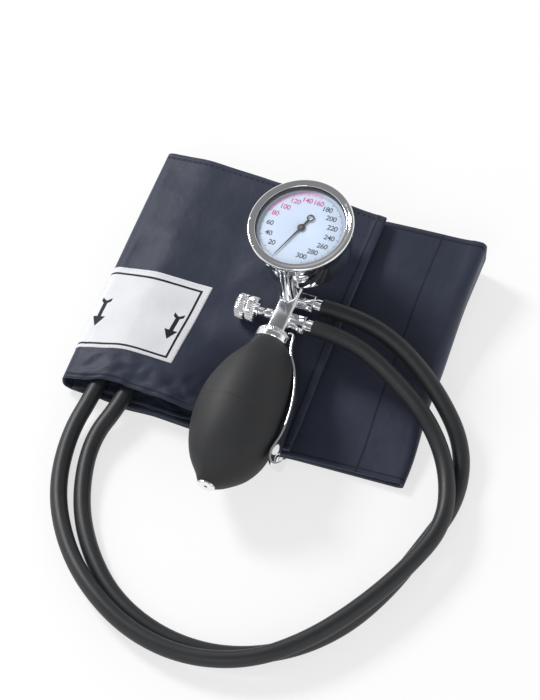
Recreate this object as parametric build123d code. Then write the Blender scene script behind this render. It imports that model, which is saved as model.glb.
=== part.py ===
from build123d import *
import os
from math import atan, cos, degrees, hypot, pi, radians, sin, tan

# Aneroid sphygmomanometer: a folded arm cuff, a handset of gauge, valve block and bulb, and two hoses.
# Millimetres, +Z up. X runs along the folded cuff, Y across it towards the gauge end.
# The origin is the middle of the resting face, with the hoses left out.
# The handset has its own frame: its origin is the middle of the bulb collar, its +Y runs from the bulb
# to the gauge, its +X to the hose connectors and its +Z out of the dial.

# Folded cuff
cuff_width = 155.0
cuff_front = -53.0
cuff_length = 204.65
cuff_right = 102.5
cuff_left = cuff_right - cuff_length
panel_wall = 0.8
panel_gap = 0.15
tail_start = -73.5
leaf_end = 35.0
middle_x = 35.5
hose_arch_x = -75.5
label_x = -38.5
bulb_dent_x = 3.5
inner_fold_inset = 6.5
leaf_bend = 5.0
rest_trim = 0.05

# Stations run across the cuff from its front edge. Heights are those of a panel's mid surface above the floor.
# Outer panel: middle leaf at the right fold, at its middle and at the left fold, then the top leaf at the
# left fold, over the hoses, at the label, under the handset and at its free end.
outer_heights = {
    0.0: (5.4, 2.5, 2.5, 13.5, 21.5, 16.2, 5.6, 12.0),
    16.0: (7.5, 4.0, 3.0, 17.0, 24.0, 19.3, 6.5, 13.0),
    28.0: (9.5, 6.5, 3.3, 18.0, 25.0, 21.0, 10.1, 15.5),
    40.0: (11.8, 9.2, 4.2, 20.0, 26.0, 22.3, 15.5, 18.5),
    54.0: (14.0, 12.0, 5.0, 21.5, 27.0, 23.5, 25.8, 22.0),
    101.0: (20.0, 21.0, 11.0, 28.0, 34.0, 32.5, 34.5, 30.5),
    cuff_width: (26.0, 31.0, 24.0, 34.5, 37.0, 38.0, 38.0, 37.0),
}
# Inner panel: the upper side of the middle leaf and the under side of the top leaf, in the same order.
inner_heights = {
    0.0: (6.5, 3.6, 3.6, 5.5, 5.7, 5.4, 4.6, 10.9),
    16.0: (8.6, 5.1, 4.6, 6.1, 6.3, 6.2, 5.5, 11.9),
    28.0: (10.6, 7.6, 5.4, 7.0, 7.4, 8.0, 9.0, 14.4),
    40.0: (12.9, 10.3, 8.5, 11.5, 13.0, 12.0, 14.5, 17.4),
    54.0: (15.1, 13.1, 12.5, 16.0, 18.6, 16.0, 20.0, 20.9),
    101.0: (21.1, 22.1, 19.5, 23.0, 26.5, 25.0, 27.0, 29.4),
    cuff_width: (27.1, 32.1, 25.1, 33.4, 35.9, 36.9, 36.9, 35.9),
}

# Bladder, its ports and the patches on the cuff
bladder_stations = (16.0, 28.0, 40.0, 54.0, 101.0, 140.0)
bladder_fill = (13.5, 13.5, 10.0, 7.0, 6.0, 1.2)
bladder_end_x = -13.5
port_radius = 5.4
port_length = 8.0
label_thickness = 0.25
label_right = -44.7
label_front = 19.0
label_width = 56.0
patch_thickness = 1.1
patch_gap = 0.1
loop_patch_x = (-20.0, 70.0)
loop_patch_stations = (24.0, 128.0)
hook_patch_x = (9.0, 33.0)
hook_patch_stations = (40.0, 54.0, 101.0, 144.0)

# Handset on the cuff
handset_height = 37.5
handset_at = (3.77, -0.85, handset_height)
handset_pitch = 4.4
handset_roll = -6.5

# Bulb and its two valves
bulb_wall = 2.2
bulb_reach = 99.55
# Radii at shares of the bulb's reach, counted from the collar's middle
bulb_outline = ((9.6, 0.0301), (13.2, 0.0653), (16.9, 0.1105), (20.3, 0.1678), (23.4, 0.2511),
                (25.5, 0.3516), (26.4, 0.4621), (25.9, 0.6027), (23.4, 0.7433),
                (18.6, 0.8639), (11.5, 0.9543))
bulb_tip_radius = 5.6
bulb_neck_radius = 8.35
bulb_neck_top = 1.6
spigot_radius = 5.2
spigot_length = 9.0
fit_gap = 0.05
end_valve_radius = 4.3
end_valve_flange_radius = 5.3
end_valve_flange = 1.5
end_valve_depth = 8.4
valve_disc_thickness = 1.0
valve_disc_travel = 0.8

# Collar, spoon strip and valve block
collar_length = 5.5
collar_top_radius = 9.5
collar_foot_radius = 10.0
collar_web = 1.1
spoon_thickness = 1.0
spoon_width = 12.0
spoon_bowl_width = 21.0
spoon_bowl_length = 23.0
spoon_bowl_y = -67.5
spoon_route = ((6.0, 3.3), (13.2, 3.3), (14.0, -1.5), (16.8, -9.0), (21.4, -17.0), (25.2, -25.5),
               (27.9, -34.5), (29.4, -44.5), (30.2, -56.0), (30.6, -68.0), (32.2, -77.5))
block_width = 10.5
block_depth = 12.0
block_start = 3.6
block_end = 33.5
block_chamfer = 0.8
main_bore_radius = 2.0

# Release valve on the left of the block
valve_y = 14.7
bush_radius = 3.3
bush_reach = 10.2
bush_thread_radius = 2.6
bush_thread_depth = 3.6
spindle_radius = 1.5
spindle_neck_radius = 2.4
running_gap = 0.05
knob_radius = 7.5
knob_near = 15.5
knob_far = 29.0
knob_groove_radius = 6.4
knob_groove = 0.9
knob_hub_radius = 4.6
knob_hub = 1.2
knob_teeth = 36
knurl_depth = 0.35
valve_seat_thickness = 1.0
valve_seat_radius = 0.8

# Hose connectors on the right of the block
connector_ys = {"upper": 28.2, "lower": 13.6}
connector_hex = 10.0
connector_hex_length = 9.9
connector_nut_radius = 4.0
connector_reach = 20.2
connector_stem_radius = 2.0
connector_stem_depth = 3.0

# Gauge
neck_y = 27.0
neck_standoff = 1.0
dial_level = 34.0
case_radius = 28.0
case_wall = 2.0
case_floor_level = 12.0
case_floor = 1.2
case_rim_level = 35.0
case_step = 1.0
bezel_overhang = 3.0
bezel_lip = 0.6
bezel_front_level = 38.3
bezel_skirt_level = 29.0
bezel_skirt_wall = 1.25
bezel_screw_angles = (10.0, 130.0, 250.0)
lens_thickness = 1.5
lens_gasket_height = 2.0
dial_thickness = 0.5
seat_gap = 0.05

# Movement, in levels of the handset's +Z and in places from the gauge's axis
plate_thickness = 0.8
lower_plate_level = 21.2
upper_plate_level = 30.4
lower_plate_margin = 2.5
upper_plate_margin = 5.5
standoff_margin = 1.7
standoff_angles = (90.0, 210.0, 330.0)
standoff_radius = 1.5
pillar_places = ((12.0, 0.0), (-13.0, 17.0), (-13.0, -17.0))
pillar_radius = 1.0
arbor_radius = 0.5
gear_module = 0.4
pinion_teeth = 10
gear_ratio = 7
sector_teeth = 11
gear_level = 27.6
gear_thickness = 1.0
gear_backlash = 0.12
sector_arbor_radius = 0.6
sector_tail = 3.1
sector_tail_side = 0.9
sector_tail_width = 0.7
hairspring_level = 24.8
hairspring_height = 0.6
hairspring_start = 1.5
hairspring_pitch = 0.9
hairspring_wall = 0.2
hairspring_half_turns = 9
rocker_level = 23.6
rocker_side = 2.2
rocker_radius = 0.7
rocker_span = (-21.8, -4.5)
rocker_bearings = (-20.8, -12.0)
capsule_arm = 4.0
capsule_arm_x = -6.0
sector_arm = 5.2
sector_arm_x = -18.6
open_pivot_gap = 0.3
capsule_radius = 14.5
capsule_sheet = 0.4
capsule_floor_level = 16.6
capsule_middle_level = 18.6
capsule_top_level = 20.4
capsule_boss_radius = 4.0
capsule_pin_radius = 0.7
pointer_zero_angle = 248.5
pointer_margin = 3.8
pointer_tail = 10.4
pointer_thickness = 0.4
pointer_level = 34.6

# Neck between the block and the gauge
neck_foot_radius = 5.2
neck_top_radius = 3.9
neck_height = 18.5
neck_lean = 1.8
neck_bore_radius = 1.2
neck_spigot_level = 15.3
neck_spigot_radius = 1.8

# Hoses: outside diameter, and the corners of each route from its connector to its bladder port
hose_diameter = 10.0
hose_lead = 22.0
upper_hose_route = (
    (77, 20.7, 38.2), (107, 5, 22), (128, -19, 9.5), (135, -54, 5.1), (129, -91.5, 5.1),
    (115, -127, 5.1), (91, -157, 5.1), (60, -177.5, 5.1), (24, -184, 5.1), (-11, -176.5, 5.1),
    (-42, -157.5, 5.1), (-64, -127, 5.1), (-75, -90, 7), (-66.5, -59, 13.2))
lower_hose_route = (
    (76, 6, 37.2), (103, -12, 21), (121, -40, 12), (122.5, -77, 9.6), (109, -113, 10),
    (86, -153, 17), (59, -179, 17), (28, -196, 9), (-6, -195.5, 5.1), (-38, -183, 5.1), (-63, -159.5, 5.1),
    (-80.5, -127, 5.1), (-91, -91, 7.5), (-84, -59, 13.2))
port_places = {"upper": (-66.5, 13.2), "lower": (-84.0, 13.2)}

gauge_y = neck_y + neck_standoff + case_radius
case_bore = case_radius - case_wall
case_step_radius = case_radius - case_step
window_radius = case_step_radius - bezel_lip
bezel_radius = case_radius + bezel_overhang
lower_plate_radius = case_bore - lower_plate_margin
upper_plate_radius = case_bore - upper_plate_margin
standoff_ring = lower_plate_radius - standoff_margin
pointer_reach = window_radius - pointer_margin
handset = Location(handset_at, (handset_pitch, handset_roll, 0))
parts = {}


def cylinder_x(radius, start, end, y=0.0, z=0.0):
    return Pos(start, y, z) * Rot(0, 90, 0) * Cylinder(radius, end - start, align=(Align.CENTER, Align.CENTER, Align.MIN))


def cylinder_y(radius, start, end, x=0.0, z=0.0):
    return Pos(x, start, z) * Rot(-90, 0, 0) * Cylinder(radius, end - start, align=(Align.CENTER, Align.CENTER, Align.MIN))


def cylinder_z(radius, start, end, x=0.0, y=0.0):
    return Pos(x, y, start) * Cylinder(radius, end - start, align=(Align.CENTER, Align.CENTER, Align.MIN))


def block_between(low, high):
    size = [b - a for a, b in zip(low, high)]
    return Pos(*low) * Box(*size, align=(Align.MIN, Align.MIN, Align.MIN))


def offset_points(points, distance):
    """The points moved to the left of their path, mitred at each corner."""
    moved = []
    for i, (x, y) in enumerate(points):
        normals = []
        for a, b in ((i - 1, i), (i, i + 1)):
            if a < 0 or b >= len(points):
                continue
            dx, dy = points[b][0] - points[a][0], points[b][1] - points[a][1]
            run = hypot(dx, dy)
            normals.append((-dy / run, dx / run))
        nx = sum(n[0] for n in normals)
        ny = sum(n[1] for n in normals)
        share = distance * len(normals) / (nx * nx + ny * ny)
        moved.append((x + nx * share, y + ny * share))
    return moved


def corner_turns(points):
    """The turn at each inner corner in radians, positive to the left."""
    turns = []
    for a, b, c in zip(points, points[1:], points[2:]):
        ux, uy, vx, vy = b[0] - a[0], b[1] - a[1], c[0] - b[0], c[1] - b[1]
        cross, dot = ux * vy - uy * vx, ux * vx + uy * vy
        turns.append(Vector(1, 0, 0).get_signed_angle(Vector(dot, cross, 0), Vector(0, 0, 1)) * pi / 180)
    return turns


def ribbon(points, radii, near, far):
    """A face along a path, between two distances to its left, with rounded corners."""
    turns = corner_turns(points)

    def side(distance):
        rounded = [max(r - distance * (1 if t > 0 else -1), 0.05) for r, t in zip(radii, turns)]
        return FilletPolyline(*offset_points(points, distance), radius=rounded)

    first, second = side(near), side(far)
    edges = first.edges() + second.edges()
    edges += [Line(first @ 0, second @ 0).edge(), Line(first @ 1, second @ 1).edge()]
    return make_face(edges)


def station_plane(station):
    """The plane across the cuff at a station, with x along the cuff and y up."""
    return Plane(origin=(0, cuff_front + station, 0), x_dir=(1, 0, 0), z_dir=(0, -1, 0))


def heights_at(table, station):
    rows = sorted(table)
    for low, high in zip(rows, rows[1:]):
        if low <= station <= high:
            share = (station - low) / (high - low)
            return tuple(a + (b - a) * share for a, b in zip(table[low], table[high]))
    return table[rows[-1]]


# Cuff panels: each is one strip folded over twice, tail below, middle leaf, top leaf.

def outer_path(station):
    right, middle, low, high, hoses, label, dent, end = heights_at(outer_heights, station)
    tail = panel_wall * 1.5 + 2 * panel_gap
    fold_right = cuff_right - panel_wall * 1.5 - 2 * panel_gap
    fold_left = cuff_left + panel_wall / 2
    points = [(tail_start, tail), (fold_right, tail), (fold_right, right), (middle_x, middle), (fold_left, low),
              (fold_left, high), (hose_arch_x, hoses), (label_x, label), (bulb_dent_x, dent), (leaf_end, end)]
    half_right = 0.47 * (right - tail)
    half_left = 0.42 * (high - low)
    return points, [half_right, half_right, leaf_bend, half_left, half_left, leaf_bend, leaf_bend, leaf_bend]


def inner_path(station):
    right, middle, low, high, hoses, label, dent, end = heights_at(inner_heights, station)
    tail = panel_wall / 2 - rest_trim
    fold_right = cuff_right - panel_wall / 2
    fold_left = cuff_left + inner_fold_inset
    points = [(tail_start, tail), (fold_right, tail), (fold_right, right), (middle_x, middle), (fold_left, low),
              (fold_left, high), (hose_arch_x, hoses), (label_x, label), (bulb_dent_x, dent), (leaf_end, end)]
    half_right = 0.47 * (right - tail)
    half_left = 0.46 * (high - low)
    return points, [half_right, half_right, leaf_bend, half_left, half_left, leaf_bend, leaf_bend, leaf_bend]


def panel(path):
    sections = []
    for station in sorted(outer_heights):
        points, radii = path(station)
        sections.append(station_plane(station) * ribbon(points, radii, -panel_wall / 2, panel_wall / 2))
    return loft(sections, ruled=True)


def height_on(points, x):
    """The height at x on a stretch of the top leaf, whose points run from left to right."""
    for (xa, za), (xb, zb) in zip(points, points[1:]):
        if xa <= x <= xb:
            return za + (zb - za) * (x - xa) / (xb - xa)
    return points[-1][1]


def bladder_section(station, fill):
    clear = panel_wall / 2 + panel_gap
    over, radii = outer_path(station)
    under, _ = inner_path(station)
    left_out, left_in = over[4][0] + clear, under[4][0] - clear
    low_out, high_out = over[4][1] + clear, over[5][1] - clear
    low_in, high_in = under[4][1] - clear, under[5][1] + clear
    middle_out = low_out + (over[3][1] + clear - low_out) * (bladder_end_x - left_out) / (middle_x - left_out)
    middle_in = low_in + (under[3][1] - clear - low_in) * (bladder_end_x - left_in) / (middle_x - left_in)
    top_in = height_on(under[5:], bladder_end_x) + clear
    floor_hoses, floor_label = under[6][1] + clear, under[7][1] + clear
    roof = [min(over[6][1] - clear, floor_hoses + fill), min(over[7][1] - clear, floor_label + fill)]
    roof_end = min(height_on(over[5:], bladder_end_x) - clear, top_in + fill)
    high_out = min(high_out, high_in + fill)
    corner = 0.84 * radii[3]
    rise = corner * (roof[0] - high_out) / (hose_arch_x - left_out)
    fall = corner * (middle_out - low_out) / (bladder_end_x - left_out)
    outline = [(bladder_end_x, middle_out), (left_out + corner, low_out + fall), (left_out, low_out + corner),
               (left_out, high_out - corner), (left_out + corner, high_out + rise), (hose_arch_x, roof[0]),
               (label_x, roof[1]), (bladder_end_x, roof_end), (bladder_end_x, top_in), (label_x, floor_label),
               (hose_arch_x, floor_hoses), (left_in, high_in), (left_in, low_in), (bladder_end_x, middle_in)]
    return station_plane(station) * make_face(Polyline(*outline, close=True).edges())


def bladder_port(place):
    x, z = place
    front = cuff_front + bladder_stations[0] + fit_gap
    return cylinder_y(port_radius, front, front + port_length, x, z)


def label_section(station):
    over, radii = outer_path(station)
    low = over[5][1] - (over[5][1] - over[4][1]) * 0.45
    points = [(over[5][0], low), over[5], over[6], (label_right, height_on(over[6:], label_right))]
    clear = panel_wall / 2 + patch_gap
    turn_radius = radii[4]
    return station_plane(station) * ribbon(points, [turn_radius, leaf_bend], clear, clear + label_thickness)


def hook_section(station):
    under, _ = inner_path(station)
    clear = panel_wall / 2 + patch_gap
    a, b = hook_patch_x
    za, zb = height_on(under[5:], a) - clear, height_on(under[5:], b) - clear
    outline = Polyline((a, za), (b, zb), (b, zb - patch_thickness), (a, za - patch_thickness), close=True)
    return station_plane(station) * make_face(outline.edges())


parts["cuff_outer_panel"] = panel(outer_path)
under_floor = block_between((cuff_left, cuff_front, -1.0), (cuff_right, cuff_front + cuff_width, 0.0))
parts["cuff_inner_panel"] = panel(inner_path) - under_floor
ports = {name: bladder_port(place) for name, place in port_places.items()}
bladder_faces = [bladder_section(s, f) for s, f in zip(bladder_stations, bladder_fill)]
parts["bladder"] = loft(bladder_faces, ruled=True) - ports["upper"] - ports["lower"]
for name, port in ports.items():
    parts[f"bladder_port_{name}"] = port
label_stations = (label_front, 28.0, 40.0, 54.0, label_front + label_width)
parts["artery_label"] = loft([label_section(s) for s in label_stations], ruled=True)
loop_floor = 2 * panel_wall + 2 * panel_gap + patch_gap
parts["loop_patch"] = block_between((loop_patch_x[0], cuff_front + loop_patch_stations[0], loop_floor),
                                    (loop_patch_x[1], cuff_front + loop_patch_stations[1], loop_floor + patch_thickness))
parts["hook_patch"] = loft([hook_section(s) for s in hook_patch_stations], ruled=True)


# Bulb, collar and the two check valves, on the handset's Y axis

def bulb_shell():
    outer = [(r, -y * bulb_reach) for r, y in bulb_outline] + [(bulb_tip_radius, -bulb_reach)]
    inner = [(spigot_radius + fit_gap, -7.0), (10.4, -9.0)]
    inner += [(r - bulb_wall, -y * bulb_reach) for r, y in bulb_outline[3:]]
    inner[-1] = (inner[-1][0], inner[-1][1] + bulb_wall)
    hole = end_valve_radius + fit_gap
    seat = -bulb_reach + 2 * bulb_wall
    inner += [(hole + bulb_wall / 2, seat + bulb_wall / 4)]
    neck_inside = spigot_radius + fit_gap
    outline = Polyline((neck_inside, -7.0), (neck_inside, bulb_neck_top), (bulb_neck_radius, bulb_neck_top),
                       (bulb_neck_radius, outer[0][1]), outer[0]).edges()
    outline += Spline(*outer).edges()
    outline += Polyline(outer[-1], (hole, -bulb_reach), (hole, seat), inner[-1]).edges()
    outline += Spline(*inner).edges()
    return revolve(make_face(outline), Axis.Y)


def collar():
    half = collar_length / 2
    bore = bulb_neck_radius + fit_gap
    web = half - collar_web
    outline = Polyline((spigot_radius + fit_gap, half), (collar_top_radius, half), (collar_top_radius, half - 2.4),
                       (collar_foot_radius, -half), (bore, -half), (bore, web), (spigot_radius + fit_gap, web), close=True)
    return revolve(make_face(outline.edges()), Axis.Y)


def notched_disc(radius, start):
    disc = cylinder_y(radius, start, start + valve_disc_thickness)
    for turn in range(3):
        angle = radians(120 * turn)
        disc -= cylinder_y(0.9, start - 1, start + valve_disc_thickness + 1, radius * cos(angle), radius * sin(angle))
    return disc


outlet_chamber_radius = 3.4
outlet_seat = -spigot_length
outlet_cage_length = 1.6
outlet_disc_start = outlet_seat + outlet_cage_length + fit_gap
outlet_chamber_end = outlet_disc_start + valve_disc_thickness + valve_disc_travel + 0.2
end_flange_start = -bulb_reach - end_valve_flange
end_sleeve_end = -bulb_reach + end_valve_depth
end_chamber_radius = end_valve_radius - 1.1
end_disc_start = -bulb_reach + fit_gap
end_cage_start = end_disc_start + valve_disc_thickness + valve_disc_travel + 0.2


def end_valve_body():
    body = cylinder_y(end_valve_flange_radius, end_flange_start, -bulb_reach)
    body += cylinder_y(end_valve_radius, -bulb_reach, end_sleeve_end)
    body -= cylinder_y(end_chamber_radius, -bulb_reach, end_sleeve_end)
    return body - cylinder_y(1.1, end_flange_start, -bulb_reach)


handset_parts = {
    "bulb_shell": bulb_shell(),
    "bulb_collar": collar(),
    "end_valve_body": end_valve_body(),
    "end_valve_disc": notched_disc(end_chamber_radius - 2 * running_gap, end_disc_start),
    "end_valve_cage": cylinder_y(end_chamber_radius, end_cage_start, end_cage_start + 1.2)
    - cylinder_y(1.6, end_cage_start, end_cage_start + 1.2),
    "outlet_valve_cage": cylinder_y(outlet_chamber_radius, outlet_seat, outlet_seat + outlet_cage_length)
    - cylinder_y(1.8, outlet_seat, outlet_seat + outlet_cage_length),
    "outlet_valve_disc": notched_disc(outlet_chamber_radius - 2 * running_gap, outlet_disc_start),
}


# Spoon strip: a spring clip down the right of the bulb, held under the block by its own washer

def spoon():
    radii = [1.5, 2.5, 9, 14, 24, 30, 40, 50, 12]
    strip = ribbon(list(spoon_route), radii, 0, spoon_thickness)
    wide = extrude(strip, spoon_bowl_width / 2, both=True)
    bowl = Pos(0, spoon_bowl_y, 0) * Ellipse(spoon_bowl_width / 2, spoon_bowl_length / 2)
    stem = Pos(0, (spoon_bowl_y + block_start) / 2, 0) * Rectangle(spoon_width, block_start - spoon_bowl_y)
    shape = extrude(Plane.YZ * Rot(0, 0, -90) * (bowl + stem), 60)
    strip = wide & shape
    low = collar_length / 2 + fit_gap
    washer = cylinder_y(collar_top_radius - 0.6, low, block_start - fit_gap)
    washer += block_between((0, low, -spoon_width / 2), (spoon_route[0][0] + 2, block_start - fit_gap, spoon_width / 2))
    return strip + washer - cylinder_y(spigot_radius + fit_gap, low - 1, block_start + 1)


handset_parts["spoon_strip"] = spoon()


# Valve block with its bores

def valve_block():
    body = block_between((-block_width / 2, block_start, -block_depth / 2), (block_width / 2, block_end, block_depth / 2))
    body = chamfer(body.edges().filter_by(Axis.Y), block_chamfer)
    body += cylinder_y(spigot_radius, -spigot_length, block_start)
    body -= cylinder_y(main_bore_radius, -spigot_length, block_end - 3)
    body -= cylinder_y(outlet_chamber_radius, -spigot_length, outlet_chamber_end)
    body -= cylinder_x(bush_thread_radius, -block_width / 2, -block_width / 2 + bush_thread_depth + valve_seat_thickness, valve_y)
    for y in connector_ys.values():
        body -= cylinder_x(connector_stem_radius, block_width / 2 - connector_stem_depth, block_width / 2, y)
        body -= cylinder_x(main_bore_radius / 2, 0, block_width / 2, y)
    return body - cylinder_z(neck_bore_radius, 0, block_depth / 2, 0, neck_y)


handset_parts["valve_block"] = valve_block()


# Release valve: bush, spindle, knob, needle and seat

bush_face = -block_width / 2
seat_start = bush_face + bush_thread_depth
o_ring_section = 0.45
o_ring_x = bush_face - 3.2


def knurled(radius, start, end):
    """A disc whose rim has rounded grooves along it."""
    disc = cylinder_x(radius, start, end, valve_y)
    groove = 2 * pi * radius / knob_teeth / 4
    for i in range(knob_teeth):
        angle = 2 * pi * i / knob_teeth
        reach = radius + groove - knurl_depth
        disc -= cylinder_x(groove, start, end, valve_y + reach * cos(angle), reach * sin(angle))
    return disc


def valve_knob():
    middle = -(knob_near + knob_hub + knob_far) / 2
    knob = cylinder_x(knob_hub_radius, -knob_near - knob_hub, -knob_near, valve_y)
    knob += knurled(knob_radius, middle + knob_groove / 2, -knob_near - knob_hub)
    knob += cylinder_x(knob_groove_radius, middle - knob_groove / 2, middle + knob_groove / 2, valve_y)
    knob += knurled(knob_radius, -knob_far, middle - knob_groove / 2)
    return knob - cylinder_x(spindle_neck_radius, -knob_near - 6.0, -knob_near, valve_y)


def valve_bush():
    bush = cylinder_x(bush_radius, -bush_reach, bush_face, valve_y)
    bush += cylinder_x(bush_thread_radius, bush_face, seat_start, valve_y)
    bush -= cylinder_x(spindle_radius + running_gap, -bush_reach, seat_start, valve_y)
    groove = cylinder_x(spindle_radius + 2 * o_ring_section, o_ring_x - o_ring_section, o_ring_x + o_ring_section, valve_y)
    return bush - groove


def valve_spindle():
    spindle = cylinder_x(spindle_neck_radius, -knob_near - 6.0, -bush_reach - 1.4, valve_y)
    return spindle + cylinder_x(spindle_radius, -bush_reach - 1.4, seat_start - 2.6, valve_y)


def valve_needle():
    needle = cylinder_x(spindle_radius - 0.1, seat_start - 2.6 + fit_gap, seat_start - fit_gap, valve_y)
    tip = Pos(seat_start - fit_gap, valve_y, 0) * Rot(0, 90, 0) * Cone(0.65, 0.3, 0.8, align=(Align.CENTER, Align.CENTER, Align.MIN))
    return needle + tip


handset_parts["valve_knob"] = valve_knob()
handset_parts["valve_spindle"] = valve_spindle()
handset_parts["valve_bush"] = valve_bush()
handset_parts["valve_needle"] = valve_needle()
handset_parts["valve_seat"] = (cylinder_x(bush_thread_radius, seat_start, seat_start + valve_seat_thickness, valve_y)
                               - cylinder_x(valve_seat_radius, seat_start, seat_start + valve_seat_thickness, valve_y))
o_ring = Torus(spindle_radius + running_gap + o_ring_section, o_ring_section - running_gap)
handset_parts["valve_o_ring"] = Pos(o_ring_x, valve_y, 0) * Rot(0, 90, 0) * o_ring


# Hose connectors

def connector(y):
    face = block_width / 2
    hex_start = face + 0.4
    body = cylinder_x(connector_nut_radius, face, hex_start, y)
    hexagon = Pos(hex_start, y, 0) * Rot(0, 90, 0) * extrude(RegularPolygon(connector_hex / 2, 6, major_radius=False), connector_hex_length)
    body += hexagon
    nut_start = hex_start + connector_hex_length
    body += cylinder_x(connector_nut_radius, nut_start, connector_reach, y)
    body += cylinder_x(connector_stem_radius, face - connector_stem_depth, face, y)
    return body - cylinder_x(1.3, face - connector_stem_depth, connector_reach, y)


for name, y in connector_ys.items():
    handset_parts[f"hose_connector_{name}"] = connector(y)


# Gauge case, bezel, lens and dial

def turned(outline):
    """A solid turned about the gauge's axis from (radius, level) points."""
    profile = make_face(Polyline(*[(r, 0, z) for r, z in outline], close=True).edges())
    return Pos(0, gauge_y, 0) * revolve(profile, Axis.Z)


def bezel_screw(angle, radius, start, end):
    turn = Pos(0, gauge_y, 32.0) * Rot(0, 0, angle) * Rot(0, 90, 0)
    return turn * Pos(0, 0, start) * Cylinder(radius, end - start, align=(Align.CENTER, Align.CENTER, Align.MIN))


screw_shank = 0.6
screw_head = 1.3
skirt_outside = case_radius + seat_gap + bezel_skirt_wall
lens_bottom = dial_level + lens_gasket_height
lens_top = lens_bottom + lens_thickness
screw_holes = [bezel_screw(a, screw_shank + 0.02, case_radius - case_wall / 2, skirt_outside + 1) for a in bezel_screw_angles]
spigot_hole = cylinder_y(neck_spigot_radius + fit_gap, neck_y, gauge_y - case_radius + case_wall + 1, 0, neck_spigot_level)


def gauge_case():
    bore = case_bore
    floor = case_floor_level
    shell = turned([(0, floor), (case_radius - 2.0, floor), (case_radius - 0.6, floor + 0.6), (case_radius, floor + 2.0),
                    (case_radius, case_rim_level), (case_step_radius, case_rim_level),
                    (case_step_radius, dial_level - dial_thickness), (bore, dial_level - dial_thickness),
                    (bore, floor + case_floor), (0, floor + case_floor)])
    for hole in screw_holes:
        shell -= hole
    return shell - spigot_hole


def bezel_ring():
    inside = case_radius + seat_gap
    skirt = bezel_skirt_level
    ring = turned([(inside, skirt), (skirt_outside, skirt), (skirt_outside, 34.4), (bezel_radius, 35.8),
                   (bezel_radius, bezel_front_level - 0.7), (bezel_radius - 0.7, bezel_front_level),
                   (window_radius, lens_top + 0.6), (window_radius, lens_top + seat_gap),
                   (case_step_radius, lens_top + seat_gap), (case_step_radius, case_rim_level + seat_gap),
                   (inside, case_rim_level + seat_gap)])
    for hole in screw_holes:
        ring -= hole
    return ring


def bezel_screws():
    solids = []
    for angle in bezel_screw_angles:
        shank = bezel_screw(angle, screw_shank, case_radius - case_wall / 2 + 0.1, skirt_outside)
        head = bezel_screw(angle, screw_head, skirt_outside, skirt_outside + 0.9)
        solids.append((shank + head).solid())
    return Compound(children=solids)


ring_outside = case_step_radius - seat_gap
handset_parts["gauge_case"] = gauge_case()
handset_parts["bezel_ring"] = bezel_ring()
handset_parts["bezel_screws"] = bezel_screws()
handset_parts["lens"] = turned([(0, lens_bottom), (ring_outside, lens_bottom), (ring_outside, lens_top), (0, lens_top)])
handset_parts["lens_gasket"] = turned([(window_radius - 0.5, dial_level), (ring_outside, dial_level),
                                       (ring_outside, lens_bottom), (window_radius - 0.5, lens_bottom)])
handset_parts["dial_plate"] = turned([(1.0, dial_level - dial_thickness), (ring_outside, dial_level - dial_thickness),
                                      (ring_outside, dial_level), (1.0, dial_level)])


# Movement

pinion_radius = gear_module * pinion_teeth / 2
sector_radius = pinion_radius * gear_ratio
sector_x = -(pinion_radius + sector_radius)
capsule_x = capsule_arm_x
capsule_y = rocker_side + capsule_arm


def in_gauge(shape):
    return Pos(0, gauge_y, 0) * shape


def gear_tooth(radius, angle):
    """The outline of one tooth on a pitch circle, from below its root to its tip."""
    pitch_half = (pi * gear_module / 2 - gear_backlash) / 2
    stations = ((radius - 1.3 * gear_module, pitch_half * 1.45), (radius, pitch_half), (radius + 0.85 * gear_module, pitch_half * 0.5))
    side = [(r, h / r) for r, h in stations]
    polar = [(r, angle - a) for r, a in side] + [(r, angle + a) for r, a in reversed(side)]
    return make_face(Polyline(*[(r * cos(a), r * sin(a)) for r, a in polar], close=True).edges())


def pinion_arbor():
    root = pinion_radius - 1.2 * gear_module
    gear = extrude(Circle(root), gear_thickness + 0.4)
    for i in range(pinion_teeth):
        gear += extrude(gear_tooth(pinion_radius, pi + 2 * pi * i / pinion_teeth), gear_thickness + 0.4)
    gear = Pos(0, 0, gear_level - 0.2) * gear
    arbor = cylinder_z(arbor_radius, lower_plate_level, pointer_level + pointer_thickness + 0.3)
    collet = cylinder_z(hairspring_start - 0.35, hairspring_level - 0.3, hairspring_level + hairspring_height + 0.3)
    return in_gauge(arbor + collet + gear)


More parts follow.
